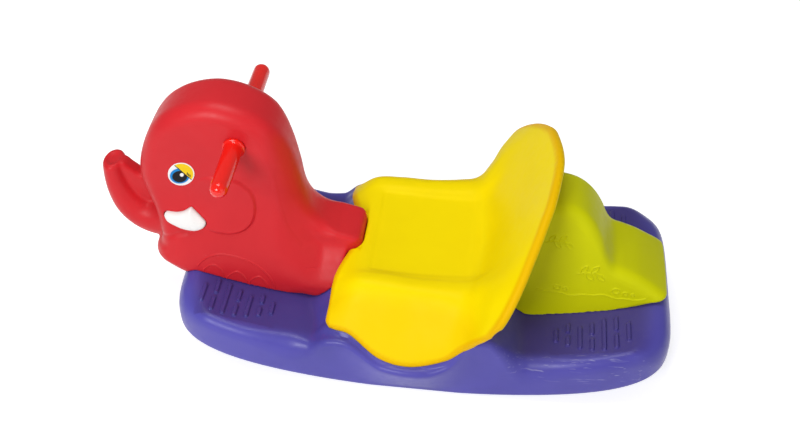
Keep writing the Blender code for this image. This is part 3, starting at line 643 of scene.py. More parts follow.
def baseOutline():
    power = baseSizes["cornerPower"]
    straight = 0.75
    quarter = [(x, (1.0 - x ** power) ** (1.0 / power)) for x in np.arange(64) / 64 * straight]
    start = np.arccos(straight ** (power / 2))
    for angle in np.linspace(start, pi / 2 - start, 25)[:-1]:
        quarter.append((cos(angle) ** (2 / power), sin(angle) ** (2 / power)))
    for y in straight * (1.0 - np.arange(16) / 16):
        quarter.append(((1.0 - y ** power) ** (1.0 / power), y))
    quarter.append((1.0, 0.0))
    inner = quarter[1:-1]
    outline = quarter + [(x, -y) for x, y in reversed(quarter[:-1])]
    outline += [(-x, -y) for x, y in inner] + [(-1.0, 0.0)] + [(-x, y) for x, y in reversed(inner)]
    return np.array(outline) * (baseSizes["halfLength"], baseSizes["halfWidth"])


def buildBase():
    sizes = baseSizes
    outline = baseOutline()
    keel = sizes["halfLength"] - sizes["halfWidth"]
    middle = np.clip(outline[:, 0], -keel, keel)
    mark = seatSections()[3][-1]
    along = (outline[:, 0] - mark[0]) / sizes["ledgeHalfLength"]
    swell = (mark[1] + sizes["ledgeWidth"] - sizes["halfWidth"]) * np.maximum(0.0, 1.0 - along ** 2) ** 2

    def place(inset, bulge):
        share = inset / sizes["halfWidth"]
        wide = outline[:, 1] * (1.0 + bulge * swell / sizes["halfWidth"])
        return mix(outline[:, 0], middle, share), wide * (1.0 - share)

    def under(inset, lift):
        x, y = place(inset, 0.0)
        arc = np.maximum(0.0, arcHeight(x) - arcHeight(sizes["land"] / 2))
        return np.stack([x, y, arc + lift], axis=1)

    def over(inset, drop):
        x, y = place(inset, 1.0)
        return np.stack([x, y, baseTop(x, y) - drop], axis=1)

    lower = sizes["bottomFillet"]
    rings = [under(inset, 0.0) for inset in np.linspace(sizes["halfWidth"], lower, 14)[:-1]]
    rings += [under(lower * (1.0 - sin(a)), lower * (1.0 - cos(a))) for a in np.linspace(0.0, pi / 2, 8)]
    reach, fall = edgeRounding(outline[:, 0])
    foot, brow = rings[-1], over(0.0, fall)
    rings += [mix(foot, brow, share) for share in (0.17, 0.33, 0.5, 0.67, 0.83)]
    for angle in np.linspace(pi / 2, 0.0, 11):
        inset = reach * (1.0 - sin(angle))
        rings.append(over(inset, filletDrop(inset, reach) * fall / reach))
    for share in np.linspace(0.0, 1.0, 36)[1:]:
        rings.append(over(mix(reach, sizes["halfWidth"], share), 0.0))
    return skin("rockerBase", rings)


def raiseRibs(base):
    sizes = ribSizes
    length, margin = 6 * sizes["pitch"], sizes["margin"]
    radius = sizes["width"] / 2
    front, rear = sizes["starts"]
    inner, outer = sizes["band"]

    def onPlatform(x, y, z):
        zone = (x > front - length - margin) & (x < front + margin)
        zone |= (x > rear - margin) & (x < rear + length + margin)
        return zone & (np.abs(y) > inner) & (np.abs(y) < outer) & (z > 0.9 * baseSizes["depth"])

    splitFaces(base, onPlatform, 4)
    points = readArray(base, "co")
    chosen = np.nonzero(onPlatform(*points.T))[0]
    x, y = points[chosen, 0], np.abs(points[chosen, 1])
    nearest = np.full(len(x), 1.0)
    for sign, start in ((-1, front), (1, rear)):
        for place, spans in enumerate(sizes["spans"]):
            for low, high in spans:
                beyond = np.maximum(0.0, np.abs(y - 0.5 * (low + high)) - (0.5 * (high - low) - radius))
                nearest = np.minimum(nearest, np.hypot(x - (start + sign * place * sizes["pitch"]), beyond))
    share = np.clip((radius - nearest) / sizes["edge"], 0.0, 1.0)
    points[chosen, 2] += sizes["height"] * np.sin(0.5 * pi * share) ** 1.5
    writePoints(base, points)


def screwSeam(place):  # where the base's top meets the shell that a screw holds
    x, y = screwPlaces[place]
    if place.startswith("seat"):
        return float(seatSurface(np.array([x]), np.array([abs(y)]))[0]) - 0.004 - seatSizes["wall"]
    return float(baseTop(np.array([x]), np.array([y]))[0])


def cutWells(base):
    hole = screwSizes["hole"]
    cutters = []
    for place, (x, y) in screwPlaces.items():
        seam = screwSeam(place)
        roof = seam - screwSizes["roof"]
        profile = [(-0.010, 0.018), (roof - 0.002, 0.0168), (roof, 0.015), (roof, hole), (seam + 0.010, hole)]
        cutters.append(lathe("well", profile, (x, y, 0.0), (0, 0, 1), 48))
    combine(base, joinAll(cutters))


def markPoints(piece, name, values):  # a share from 0 to 1 at each point, for the material to read
    attribute = piece.data.attributes.new(name, "FLOAT", "POINT")
    attribute.data.foreach_set("value", np.clip(values, 0.0, 1.0).astype(np.float32))


baseWearAndShade = {                # wear near the rims, and painted shade on the platforms; each fades in or out between two places
    "wearRim": (0.165, 0.185),
    "wearHeight": (0.050, 0.072),
    "wearStart": (0.10, 0.20),
    "level": (0.60, 0.99),   # how far a face looks up, for the painted shade
    "platformSide": (0.160, 0.185),
    "platformEnd": (0.350, 0.400),
    "height": (0.055, 0.075),
    "ribs": ((-0.372, -0.240), (0.218, 0.350)),
    "ribSide": 0.09,
}
# Painted shade on the seat: along its rim, and a share of it on the lower flaps
seatShadeMarks = {"rim": (0.006, 0.016), "flapSide": (0.120, 0.150), "flapTop": (0.150, 0.200), "flapShadeShare": 0.45}


def markBaseWearAndShade(base):  # scratches near the rear rims, and painted shade on the platforms, darker where a face looks up
    markSettings = baseWearAndShade
    x, y, z = readArray(base, "co").T
    y = np.abs(y)
    rim = smoothstep(*markSettings["wearRim"], y) * smoothstep(*markSettings["wearHeight"], z)
    markPoints(base, "wear", rim * smoothstep(*markSettings["wearStart"], x))
    (a, b), (c, d) = markSettings["ribs"]
    ribs = (((x > a) & (x < b)) | ((x > c) & (x < d))) & (y > markSettings["ribSide"]) & (y < ribSizes["band"][1])
    # Painted shade: faces looking up on the platforms, and the ribs' zones, get the darker colour
    flat = smoothstep(*markSettings["level"], readArray(base, "normal")[:, 2])
    flat = np.maximum(flat * (1.0 - smoothstep(*markSettings["platformSide"], y)), ribs)
    ends = 1.0 - smoothstep(*markSettings["platformEnd"], np.abs(x))
    markPoints(base, "paintedShade", flat * ends * smoothstep(*markSettings["height"], z))


def paintSeatShade(seat):  # painted shade, deepest on the rim of the back, then the flaps, then the pan
    markSettings = seatShadeMarks
    points = readArray(seat, "co")
    sides = seatGrid[0, :-1:2], seatGrid[:-1:3, -1], seatGrid[-1, :0:-2], seatGrid[:0:-3, 0]
    gap = np.full(len(points), 1.0)
    nearby = 0.030
    for mark in np.concatenate(sides):
        near = np.nonzero(np.abs(points - mark).max(axis=1) < nearby)[0]
        gap[near] = np.minimum(gap[near], np.linalg.norm(points[near] - mark, axis=1))
    flap = smoothstep(*markSettings["flapSide"], np.abs(points[:, 1]))
    flap = flap * (1.0 - smoothstep(*markSettings["flapTop"], points[:, 2]))
    rim = 1.0 - smoothstep(*markSettings["rim"], gap)
    markPoints(seat, "paintedShade", np.maximum(rim, markSettings["flapShadeShare"] * flap))


# Shells drawn by their side outline

def even(value):  # the same value at every place
    return lambda x, z=None: value + 0.0 * x


def smoothSkin(piece, voxel):
    useModifier(piece, "REMESH", mode="VOXEL", voxel_size=voxel)
    useModifier(piece, "SMOOTH", factor=0.5, iterations=7)


def nearestOn(spine, x, z):
    best = None
    for (x0, z0), (x1, z1) in zip(spine, spine[1:]):
        dx, dz = x1 - x0, z1 - z0
        t = min(1.0, max(0.0, ((x - x0) * dx + (z - z0) * dz) / (dx * dx + dz * dz)))
        px, pz = x0 + dx * t, z0 + dz * t
        gap = hypot(x - px, z - pz)
        if best is None or gap < best[0]:
            best = (gap, px, pz)
    return best


def pillow(name, outline, spine, halfWidth, rounding, crown):  # a closed cushion with rounded rims
    outline = smoothLoop(outline, 8)
    near = np.array([nearestOn(spine, x, z) for x, z in outline])
    for _ in range(3):  # let neighbours aim at neighbouring places of the spine
        near = np.mean([np.roll(near, k, axis=0) for k in range(-6, 7)], axis=0)
    near[:, 0] = np.linalg.norm(near[:, 1:] - outline, axis=1)
    before, after = np.roll(outline, 1, axis=0), np.roll(outline, -1, axis=0)
    tangent = (after - before) / np.linalg.norm(after - before, axis=1)[:, None]
    outward = np.stack([-tangent[:, 1], tangent[:, 0]], axis=1)
    fillet = rounding(outline[:, 0])
    full = halfWidth(outline[:, 0], outline[:, 1])

    def ring(flat, wide, level):  # drawn in by the crown towards the side faces
        flat = flat - outward * (crown(outline[:, 0]) * (level / full) ** 2)[:, None]
        return np.stack([flat[:, 0], wide, flat[:, 1]], axis=1)

    def side(t, drop):
        flat = outline + (near[:, 1:] - outline) * np.reshape(t, (-1, 1))
        return ring(flat, halfWidth(flat[:, 0], flat[:, 1]) - drop, full - drop)

    levels = [level * (full - fillet) for level in (0.0, 0.25, 0.5, 0.75, 0.92)]
    half = [ring(outline, wide, wide) for wide in levels]
    for angle in np.linspace(pi / 2, 0.0, 9):
        inset = fillet * (1.0 - sin(angle))
        half.append(side(inset / near[:, 0], filletDrop(inset, fillet)))
    for share in (0.14, 0.28, 0.42, 0.56, 0.69, 0.8, 0.89, 0.95, 0.985):
        half.append(side(mix(fillet / near[:, 0], 1.0, share), 0.0))
    mirrored = [ring * (1, -1, 1) for ring in reversed(half[1:])]
    return skin(name, mirrored + half)


headSizes = {
    "halfWidth": 0.051,
    "crown": 0.0018,
    "crownEnd": (-0.200, -0.140),
    "chestHalfWidth": 0.090,
    "chinHalfWidth": 0.046,
    "chestRound": (-0.400, 0.078),  # where the chest's front begins to narrow, and how far it reaches
    "neckHalfWidth": 0.044,
    "neck": (-0.255, -0.215),
    "flare": (0.110, 0.285),  # heights between which the sides spread
    "neckFlareTop": 0.188,
    "neckFlare": (-0.250, -0.170),
    "tabHalfWidth": 0.046,
    "tabTip": -0.108,
    "tabCornerRound": 0.024,
    "tabStart": -0.146,
    "seatGap": 0.0004,
    "webHalfWidth": 0.014,   # of the web between trunk and chin
    "webRound": 0.007,
    "voxel": 0.0021,
    "crease": (0.0045, -0.0022),  # width and height of the crease and of the drawn lines
    "line": (0.0009, 0.0014),
}
tabTip = headSizes["tabTip"]
headOutline = (
    (-0.440, 0.124), (-0.456, 0.130), (-0.465, 0.141), (-0.461, 0.155), (-0.452, 0.166),
    (-0.452, 0.190), (-0.459, 0.225), (-0.469, 0.258), (-0.475, 0.290), (-0.470, 0.325),
    (-0.458, 0.360), (-0.441, 0.392), (-0.417, 0.418), (-0.382, 0.438), (-0.340, 0.447),
    (-0.298, 0.440), (-0.261, 0.421), (-0.236, 0.393), (-0.2215, 0.357), (-0.212, 0.312),
    (-0.2065, 0.271), (-0.197, 0.238), (-0.177, 0.213), (-0.152, 0.199), (-0.128, 0.192),
    (tabTip - 0.005, 0.186), (tabTip, 0.170), (tabTip - 0.005, 0.140), (-0.150, 0.085),
    (-0.260, 0.070), (-0.380, 0.100),
)
headSpine = ((-0.350, 0.352), (-0.335, 0.270), (-0.320, 0.200), (-0.280, 0.150), (-0.160, 0.140))
headRounding = {             # radius of the rounding along the outline, by x
    "x": (-0.300, -0.245, -0.205, -0.180, -0.150),
    "radius": (0.026, 0.028, 0.038, 0.026, 0.010),
}
trunkStations = (            # x, z, half thickness in the side view, half width
    (-0.430, 0.187, 0.044, 0.046), (-0.461, 0.178, 0.039, 0.043), (-0.490, 0.184, 0.034, 0.039),
    (-0.512, 0.204, 0.029, 0.036), (-0.524, 0.233, 0.0245, 0.033), (-0.529, 0.262, 0.0205, 0.030),
    (-0.530, 0.284, 0.0180, 0.027),
)
trunkLip = (                 # past the last station: how far, and the share of its thickness and width
    (0.0025, 0.985), (0.0045, 0.95), (0.0065, 0.90), (0.0080, 0.82), (0.0085, 0.72),
    (0.0080, 0.63), (0.0068, 0.56), (0.0058, 0.46), (0.0052, 0.30), (0.0050, 0.12),
)
webOutline = (
    (-0.516, 0.290), (-0.500, 0.280), (-0.486, 0.269), (-0.465, 0.262), (-0.445, 0.225),
    (-0.450, 0.180), (-0.480, 0.175), (-0.508, 0.200), (-0.523, 0.245),
)
webSpine = ((-0.505, 0.245), (-0.475, 0.215))
cheek = {"x": -0.3345, "z": 0.2580, "radiusX": 0.0550, "radiusZ": 0.0540, "lift": 0.0050,
         "frontShare": 0.10, "power": 2.3}


def headRound(x):
    return np.interp(x, headRounding["x"], headRounding["radius"])


def headWidth(x, z):
    sizes = headSizes
    start, reach = sizes["chestRound"]
    frontRound = np.sqrt(np.maximum(0.0, 1.0 - np.maximum(0.0, (start - x) / reach) ** 2))
    chest = mix(sizes["chinHalfWidth"], sizes["chestHalfWidth"], frontRound)
    top = mix(sizes["halfWidth"], sizes["neckHalfWidth"], smoothstep(*sizes["neck"], x))
    crest = mix(sizes["flare"][1], sizes["neckFlareTop"], smoothstep(*sizes["neckFlare"], x))
    return mix(top, chest, 1.0 - smoothstep(sizes["flare"][0], crest, z))


def buildTrunk():
    stations = curveAt(trunkStations, np.arange(49) / 8)
    slope = np.gradient(stations[:, :2], axis=0)
    slope /= np.linalg.norm(slope, axis=1)[:, None]
    tip, lean = stations[-1], slope[-1]
    rings = [(s[0], s[1], *t, s[2], s[3]) for s, t in zip(stations, slope)]
    rings += [(*(tip[:2] + lean * advance), *lean, *(tip[2:] * share)) for advance, share in trunkLip]
    angle = np.arange(48) / 48 * 2 * pi
    made = []
    for x, z, tx, tz, thick, wide in rings:
        made.append(np.stack([x - tz * np.cos(angle) * thick, np.sin(angle) * wide,
                              z + tx * np.cos(angle) * thick], axis=1))
    return skin("trunk", made)


def tabTrim(side):  # all behind the seat's front edge, except the tab
    wide, tip = headSizes["tabHalfWidth"], headSizes["tabTip"]
    first = rightHalf[0, :, :2]
    edge = first[first[:, 1] > wide + 0.0005][::2] - (headSizes["seatGap"], 0.0)
    corner = tabCorner(wide, tip + 0.001)
    behind = tip + 0.024
    outline = np.concatenate([[(behind, corner[0][1])], corner, edge, [(behind, edge[-1][1])]])
    return prism("tabTrim", outline * (1, side), 0.0, headSizes["flare"][1])


def trueSides(piece, outline, sideWidth, rounding, lastX):
    # Lays the side faces in front of lastX on their exact width again, after the remesh
    points = readArray(piece, "co")
    x, y, z = points.T
    wide = sideWidth(x, z)
    drawn = smoothLoop(outline, 8)
    inside = np.zeros(len(x), dtype=bool)
    for (x0, z0), (x1, z1) in zip(drawn, np.roll(drawn, -1, axis=0)):
        if z0 != z1:
            inside ^= ((z0 > z) != (z1 > z)) & (x < (x1 - x0) * (z - z0) / (z1 - z0) + x0)
    free = (x < lastX - 0.020) & (z > 0.150) & (lastX < 0.0)
    flank = (np.abs(y) > 0.6 * wide) & (free | (np.abs(readArray(piece, "normal")[:, 1]) > 0.7))
    chosen = np.nonzero(inside & flank & (x < np.where(z > 0.165, lastX - 0.020, lastX)))[0]
    gap = lineDistance(x[chosen], z[chosen], [np.concatenate([drawn, drawn[:1]])])
    share = smoothstep(1.0, 1.25, gap / rounding(x[chosen]))
    points[chosen, 1] = mix(y[chosen], np.sign(y[chosen]) * wide[chosen], share)
    writePoints(piece, points)


def cheekReach(x, z):
    across, up = np.abs((x - cheek["x"]) / cheek["radiusX"]), np.abs((z - cheek["z"]) / cheek["radiusZ"])
    return (across ** cheek["power"] + up ** cheek["power"]) ** (1.0 / cheek["power"])


def raiseCheeks(head):
    splitFaces(head, lambda x, y, z: (np.abs(cheekReach(x, z) - 1.0) < 0.09) & (np.abs(y) > 0.03), 1)
    points = readArray(head, "co")
    x, y, z = points.T
    back = smoothstep(cheek["x"] - cheek["radiusX"], cheek["x"] + 0.4 * cheek["radiusX"], x)
    lift = cheek["lift"] * mix(cheek["frontShare"], 1.0, back)
    side = smoothstep(0.6, 0.8, np.abs(y) / headWidth(x, z))
    points[:, 1] += np.sign(y) * lift * side * (1.0 - smoothstep(0.93, 1.05, cheekReach(x, z)))
    writePoints(head, points)


# Thin raised lines of the foot on the chest: one long arch and three toes, as points of the side view
footLines = (
    ((-0.383, 0.140), (-0.374, 0.151), (-0.357, 0.162), (-0.3345, 0.166), (-0.295, 0.1583), (-0.2644, 0.137),
     (-0.2531, 0.112), (-0.2531, 0.092)),
    ((-0.374, 0.126), (-0.371, 0.136), (-0.356, 0.145), (-0.342, 0.136), (-0.3385, 0.118)),
    ((-0.335, 0.111), (-0.332, 0.1225), (-0.315, 0.135), (-0.301, 0.121), (-0.300, 0.100)),
    ((-0.297, 0.100), (-0.293, 0.1175), (-0.2765, 0.1285), (-0.264, 0.1104), (-0.263, 0.094)),
)
chestCrease = ((-0.452, 0.176), (-0.4428, 0.1815), (-0.4174, 0.1930), (-0.3990, 0.1985))


def tuskOutline(grow):
    marks = np.array((
        (-0.4350, 0.2290), (-0.4300, 0.2345), (-0.4210, 0.2345), (-0.4130, 0.2345), (-0.4050, 0.2365),
        (-0.3985, 0.2395), (-0.3925, 0.2440), (-0.3880, 0.2465), (-0.3845, 0.2430), (-0.3800, 0.2385),
        (-0.3717, 0.2295), (-0.3655, 0.2225), (-0.3655, 0.2165), (-0.3705, 0.2105), (-0.3810, 0.2060),
        (-0.3930, 0.2058), (-0.4030, 0.2072), (-0.4128, 0.2100), (-0.4286, 0.2165), (-0.4340, 0.2225)))
    loop = smoothLoop(marks, 5)
    tangent = np.roll(loop, -1, axis=0) - np.roll(loop, 1, axis=0)
    tangent /= np.linalg.norm(tangent, axis=1)[:, None]
    return loop + np.stack([-tangent[:, 1], tangent[:, 0]], axis=1) * grow


def relief(name, outline, side, rings):  # a low form on the head's side: (share of the outline, height)
    made = []
    for share, lift in rings:
        x, z = (tuskMiddle + (outline - tuskMiddle) * share).T
        made.append(np.stack([x, side * (headWidth(x, z) + lift), z], axis=1))
    return skin(name, made)


tuskMiddle = np.array((-0.3960, 0.2230))
tuskSizes = {"lift": 0.0088, "sink": 0.006, "ridge": 0.0011, "ridgeWidth": 0.0045}


def buildTusk(name, side):
    angle = np.linspace(0.0, pi / 2, 12)
    rings = [(0.95, -tuskSizes["sink"]), (0.99, -0.001)]
    rings += [(max(0.02, cos(a)) ** 0.75, tuskSizes["lift"] * (0.06 + 0.94 * sin(a) ** 0.8)) for a in angle]
    tusk = relief(name, tuskOutline(0.0), side, rings)
    points = readArray(tusk, "co")
    x, y, z = points.T
    ridge = np.exp(-((x + 0.3905 + 0.25 * (z - 0.2465)) / tuskSizes["ridgeWidth"]) ** 2)
    ridge *= smoothstep(0.208, 0.240, z) * (np.abs(y) > 0.052)
    points[:, 1] += side * tuskSizes["ridge"] * ridge
    writePoints(tusk, points)
    return tusk


gripSizes = {
    "x": -0.303,
    "z": 0.378,
    "face": 0.0513,          # the collar's back, against the head
    "reach": 0.151,          # where the round tip begins
    "root": 0.0150,          # radii
    "tip": 0.0140,
    "collar": 0.0180,
    "collarRound": 0.0016,
    "spigot": 0.0125,
    "socket": 0.0128,
    "bore": 0.0053,          # for the rod
    "depth": 0.022,          # of the spigot in the head
    "gap": 0.0003,
}


def gripProfile():  # distance along the grip, and radius
    sizes = gripSizes
    face, collar, bend = sizes["face"], sizes["collar"], sizes["collarRound"]
    end = face - sizes["gap"] - sizes["depth"]
    profile = [(end, sizes["bore"]), (end, sizes["spigot"]), (face, sizes["spigot"]), (face, collar - 0.0012),
               (face + 0.0004, collar - 0.0003), (face + 0.0012, collar)]
    for angle in np.linspace(0.0, 1.3, 6):
        profile.append((face + 0.0042 + bend * sin(angle), collar - bend * (1 - cos(angle))))
    profile += [(face + 0.0068, collar - 0.0021), (face + 0.0086, sizes["root"] + 0.0003),
                (face + 0.0110, sizes["root"]), (sizes["reach"] - 0.0005, sizes["tip"] + 0.00002)]
    for angle in np.linspace(0.0, 1.54, 16):
        profile.append((sizes["reach"] + sizes["tip"] * sin(angle), sizes["tip"] * cos(angle)))
    return profile


def buildGrip(name, side):
    return lathe(name, gripProfile(), (gripSizes["x"], 0.0, gripSizes["z"]), (0, side, 0), 72)


def buildHead(baseSpace):
    sizes = headSizes
    head = pillow("headShell", headOutline, headSpine, headWidth, headRound,
                  lambda x: sizes["crown"] * (1.0 - smoothstep(*sizes["crownEnd"], x)))
    combine(head, buildTrunk(), "UNION")
    web = pillow("web", webOutline, webSpine, even(sizes["webHalfWidth"]), even(sizes["webRound"]), even(0.0))
    combine(head, web, "UNION")
    combine(head, baseSpace)
    for side in (-1, 1):
        combine(head, tabTrim(side))
    smoothSkin(head, sizes["voxel"])
    trueSides(head, headOutline, headWidth, headRound, sizes["tabStart"])
    print("remeshed head")
    raiseCheeks(head)
    raiseLines(head, [chestCrease], headWidth, *sizes["crease"])
    drawn = [curveAt(line, np.arange(6 * (len(line) - 1) + 1) / 6) for line in footLines]
    raiseLines(head, drawn, headWidth, *sizes["line"])

    # Slots for the tusks and sockets for the grips
    slot = (tuskOutline(0.0004) - tuskMiddle) * (1.045, 1.0) + tuskMiddle
    depths = [(1.0, -tuskSizes["sink"] - 0.0006), (1.0, 0.004), (1.0, 0.012)]
    cutters = [relief("pocket", slot, side, depths) for side in (-1, 1)]
    outer, inner = sizes["halfWidth"] + 0.008, sizes["halfWidth"] - gripSizes["depth"] - gripSizes["gap"]
    wide, narrow = gripSizes["socket"], gripSizes["bore"]
    profile = [(-outer, wide), (-inner, wide), (-inner, narrow)]
    profile += [(-along, radius) for along, radius in reversed(profile)]
    cutters.append(lathe("sockets", profile, (gripSizes["x"], 0.0, gripSizes["z"]), (0, 1, 0), 48))
    combine(head, joinAll(cutters))
    return head


rumpSizes = {
    "topHalfWidth": 0.051,
    "bottomHalfWidth": 0.083,
    "top": 0.290,
    "bottom": 0.095,
    "fillet": 0.018,
    "crown": 0.002,
    "voxel": 0.0020,
    "line": (0.0009, 0.0014),
}
rumpOutline = (
    (0.150, 0.078), (0.124, 0.120), (0.112, 0.165), (0.119, 0.195), (0.135, 0.224), (0.152, 0.254),
    (0.168, 0.284), (0.183, 0.300), (0.206, 0.305), (0.232, 0.301), (0.254, 0.289), (0.273, 0.268),
    (0.288, 0.241), (0.299, 0.213), (0.311, 0.195), (0.330, 0.187), (0.353, 0.177), (0.376, 0.163),
    (0.396, 0.149), (0.405, 0.140), (0.401, 0.133), (0.385, 0.127), (0.350, 0.108), (0.300, 0.085),
    (0.220, 0.070),
)
rumpSpine = ((0.170, 0.240), (0.200, 0.180), (0.260, 0.140), (0.350, 0.135))


def rumpWidth(x, z):
    share = (rumpSizes["top"] - z) / (rumpSizes["top"] - rumpSizes["bottom"])
    return mix(rumpSizes["topHalfWidth"], rumpSizes["bottomHalfWidth"], share)


# Plain raised line work on the rump's sides: a rolling path, pebbles and two sprigs of leaves

def reliefLines():
    def ring(x, z, radius):
        turn = np.linspace(0.0, 2 * pi, 25)
        return np.stack([x + radius * np.cos(turn), z + 0.8 * radius * np.sin(turn)], axis=1)

    def leaf(x, z, length, lean):
        t = np.linspace(0.0, 1.0, 12)
        wide = 0.22 * length * np.sin(pi * t)
        along, across = np.array((cos(lean), sin(lean))), np.array((-sin(lean), cos(lean)))
        side = [np.array((x, z)) + np.outer(t * length, along) + np.outer(s * wide, across) for s in (-1, 1)]
        return np.concatenate([side[0], side[1][::-1]])

    x = np.linspace(0.190, 0.368, 60)
    path = np.stack([x, 0.139 + 0.0024 * np.sin(70 * x) + 0.0012 * np.sin(173 * x)], axis=1)
    lines = [path]
    for px, pz, radius in ((0.222, 0.150, 0.0052), (0.236, 0.148, 0.0036), (0.318, 0.152, 0.0060),
                           (0.334, 0.148, 0.0038), (0.346, 0.147, 0.0026)):
        lines.append(ring(px, pz, radius))
    for px, pz, size in ((0.268, 0.180, 0.030), (0.212, 0.236, 0.026)):
        bow = 0.0035 * np.sin(np.linspace(0.0, 2.6, 14))
        stem = np.stack([px + np.linspace(-0.016, 0.020, 14), pz + bow], axis=1)
        lines.append(stem)
        for step, lean in ((2, 1.0), (5, -0.8), (8, 0.9), (11, -0.7)):
            lines.append(leaf(*stem[step], size * 0.62, lean))
    return lines


def buildRump(baseSpace, seatSpace):
    sizes = rumpSizes
    rump = pillow("rumpShell", rumpOutline, rumpSpine, rumpWidth, even(sizes["fillet"]), even(sizes["crown"]))
    combine(rump, baseSpace)
    combine(rump, seatSpace)
    smoothSkin(rump, sizes["voxel"])
    trueSides(rump, rumpOutline, rumpWidth, even(sizes["fillet"]), 0.500)
    raiseLines(rump, reliefLines(), rumpWidth, *sizes["line"])
    return rump


# Eye sticker: its whole picture is drawn by its material, from the sticker's own place on the head

eyeSizes = {
    "x": -0.3973,
    "z": 0.3125,
    "turn": ((0.0223, 0.00345), (0.0023, 0.02445)),  # x and z of its own u and v, both 1 at the rim
    "out": 0.0513,
    "thick": 0.0005,
    "rings": ((0.30, 0.0), (1.0, 0.0), (1.0, 0.6), (0.992, 0.9), (0.975, 1.0), (0.7, 1.0), (0.35, 1.0),
              (0.05, 1.0)),  # shares of its radius and thickness
    "lidEdge": (0.703, 0.711, -0.214),
}


def stickerMaterial():
    material, shader = newMaterial("eye sticker", 0.30)
    shader.inputs["Specular IOR Level"].default_value = 0.12
    tree = material.node_tree
    place = addNode(material, "ShaderNodeTexCoord")
    parts = addNode(material, "ShaderNodeSeparateXYZ")
    link(material, place, "Object", parts, 0)

    def calculate(operation, *values):
        node = addNode(material, "ShaderNodeMath", operation=operation)
        for i, value in enumerate(values):
            if isinstance(value, (int, float)):
                node.inputs[i].default_value = value
            else:
                tree.links.new(value, node.inputs[i])
        return node.outputs[0]

    def plus(first, second):
        return calculate("ADD", first, second)

    def times(first, second):
        return calculate("MULTIPLY", first, second)

    # u runs to the tail, v up, both 1 at the sticker's rim
    back = np.linalg.inv(np.array(eyeSizes["turn"]))
    dx = calculate("SUBTRACT", parts.outputs["X"], eyeSizes["x"])
    dz = calculate("SUBTRACT", parts.outputs["Z"], eyeSizes["z"])
    u, v = [plus(times(dx, float(a)), times(dz, float(b))) for a, b in back]

    def disc(cu, cv, ru, rv, soft=0.05):  # 1 inside an oval
        du = calculate("DIVIDE", calculate("SUBTRACT", u, cu), ru)
        dv = calculate("DIVIDE", calculate("SUBTRACT", v, cv), rv)
        far = calculate("SQRT", plus(times(du, du), times(dv, dv)))
        node = addNode(material, "ShaderNodeMapRange", **{"From Min": 1.0 + soft, "From Max": 1.0 - soft})
        tree.links.new(far, node.inputs["Value"])
        return node

    def lidBand(low, high):  # 1 where the distance over the lid's edge lies between low and high
        a, b, c = eyeSizes["lidEdge"]
        value = plus(plus(times(u, a), times(v, b)), c)
        inside = times(calculate("GREATER_THAN", value, low), calculate("LESS_THAN", value, high))
        node = addNode(material, "ShaderNodeMapRange")
        tree.links.new(inside, node.inputs["Value"])
        return node

    white, yellow, black = (0.88, 0.88, 0.88), (0.90, 0.62, 0.01), (0.006, 0.006, 0.010)
    layers = [(disc(-0.10, -0.15, 0.74, 0.67), (0.004, 0.190, 0.560)),
              (disc(-0.14, -0.18, 0.66, 0.60, 0.15), (0.006, 0.260, 0.700)),
              (disc(-0.10, -0.21, 0.57, 0.51), black),
              (lidBand(0.0, 9.0), yellow), (lidBand(-0.03, 0.03), black)]
    for cu, cv in ((0.44, 0.0), (0.55, -0.10), (0.65, -0.20)):  # lashes
        layers.append((disc(cu + 0.03, cv + 0.05, 0.040, 0.13, 0.2), black))
    layers.append((disc(0.06, -0.05, 0.15, 0.16, 0.1), white))
    colour = white
    for share, above in layers:
        colour = blendColours(material, share, colour, above)
    colour = blendColours(material, disc(0.0, 0.0, 0.93, 0.93, 0.03), white, colour)
    link(material, colour, "Result", shader, "Base Color")
    return material


def buildEye(name, side):
    sizes = eyeSizes
    angle = np.arange(72) / 72 * 2 * pi
    x, z = np.array(sizes["turn"]) @ np.stack([np.cos(angle), np.sin(angle)])
    rings = []
    for share, out in sizes["rings"]:
        y = np.full(72, side * (sizes["out"] + out * sizes["thick"]))
        rings.append(np.stack([sizes["x"] + share * x, y, sizes["z"] + share * z], axis=1))
    return skin(name, rings)


# Screws and washers under the base

def buildScrew(place):
    sizes = screwSizes
    x, y = screwPlaces[place]
    seam = screwSeam(place)
    point = seam + sizes["bites"][0 if place.startswith("seat") else 1]
    washerTop = seam - sizes["roof"] - sizes["gap"]
    washerLow = washerTop - sizes["washerThick"]
    headTop = washerLow - sizes["gap"]
    headLow = headTop - sizes["headHeight"]
    shank, core = sizes["shank"], sizes["core"]
    profile = []
    for angle in np.linspace(0.12, pi / 2, 8):
        profile.append((headLow + 0.0030 * (1 - cos(angle)), sizes["head"] * sin(angle)))
    profile += [(headTop, sizes["head"]), (headTop, shank)]
    turns = int((point - seam + 0.010) / sizes["pitch"])
    for k in range(turns):
        level = headTop + 0.004 + k * (point - 0.004 - headTop - 0.004) / turns
        profile += [(level, core), (level + 0.0006, shank)]
    profile += [(point - 0.0035, core), (point, 0.0008)]
    screw = lathe("screw_" + place + "_fine", profile, (x, y, 0.0), (0, 0, 1), 32)
    corners = np.array(((-1, -1), (1, -1), (1, 1), (-1, 1)))
    cross = [prism("drive", corners * arm + (x, y), headLow - 0.0011, headLow + 0.0021)
             for arm in (sizes["drive"], sizes["drive"][::-1])]
    for cutter in cross:
        combine(screw, cutter)
    rim, bore = sizes["washer"], sizes["washerHole"]
    ring = [(washerLow, bore), (washerLow, rim - 0.0005), (washerLow + 0.0004, rim),
            (washerTop - 0.0003, rim), (washerTop, rim - 0.0003), (washerTop, bore), (washerLow, bore)]
    washer = lathe("washer_" + place + "_fine", ring, (x, y, 0.0), (0, 0, 1), 48)
    finishPiece(screw, zinc, ["screw_" + place], 40)
    finishPiece(washer, zinc, ["washer_" + place], 40)


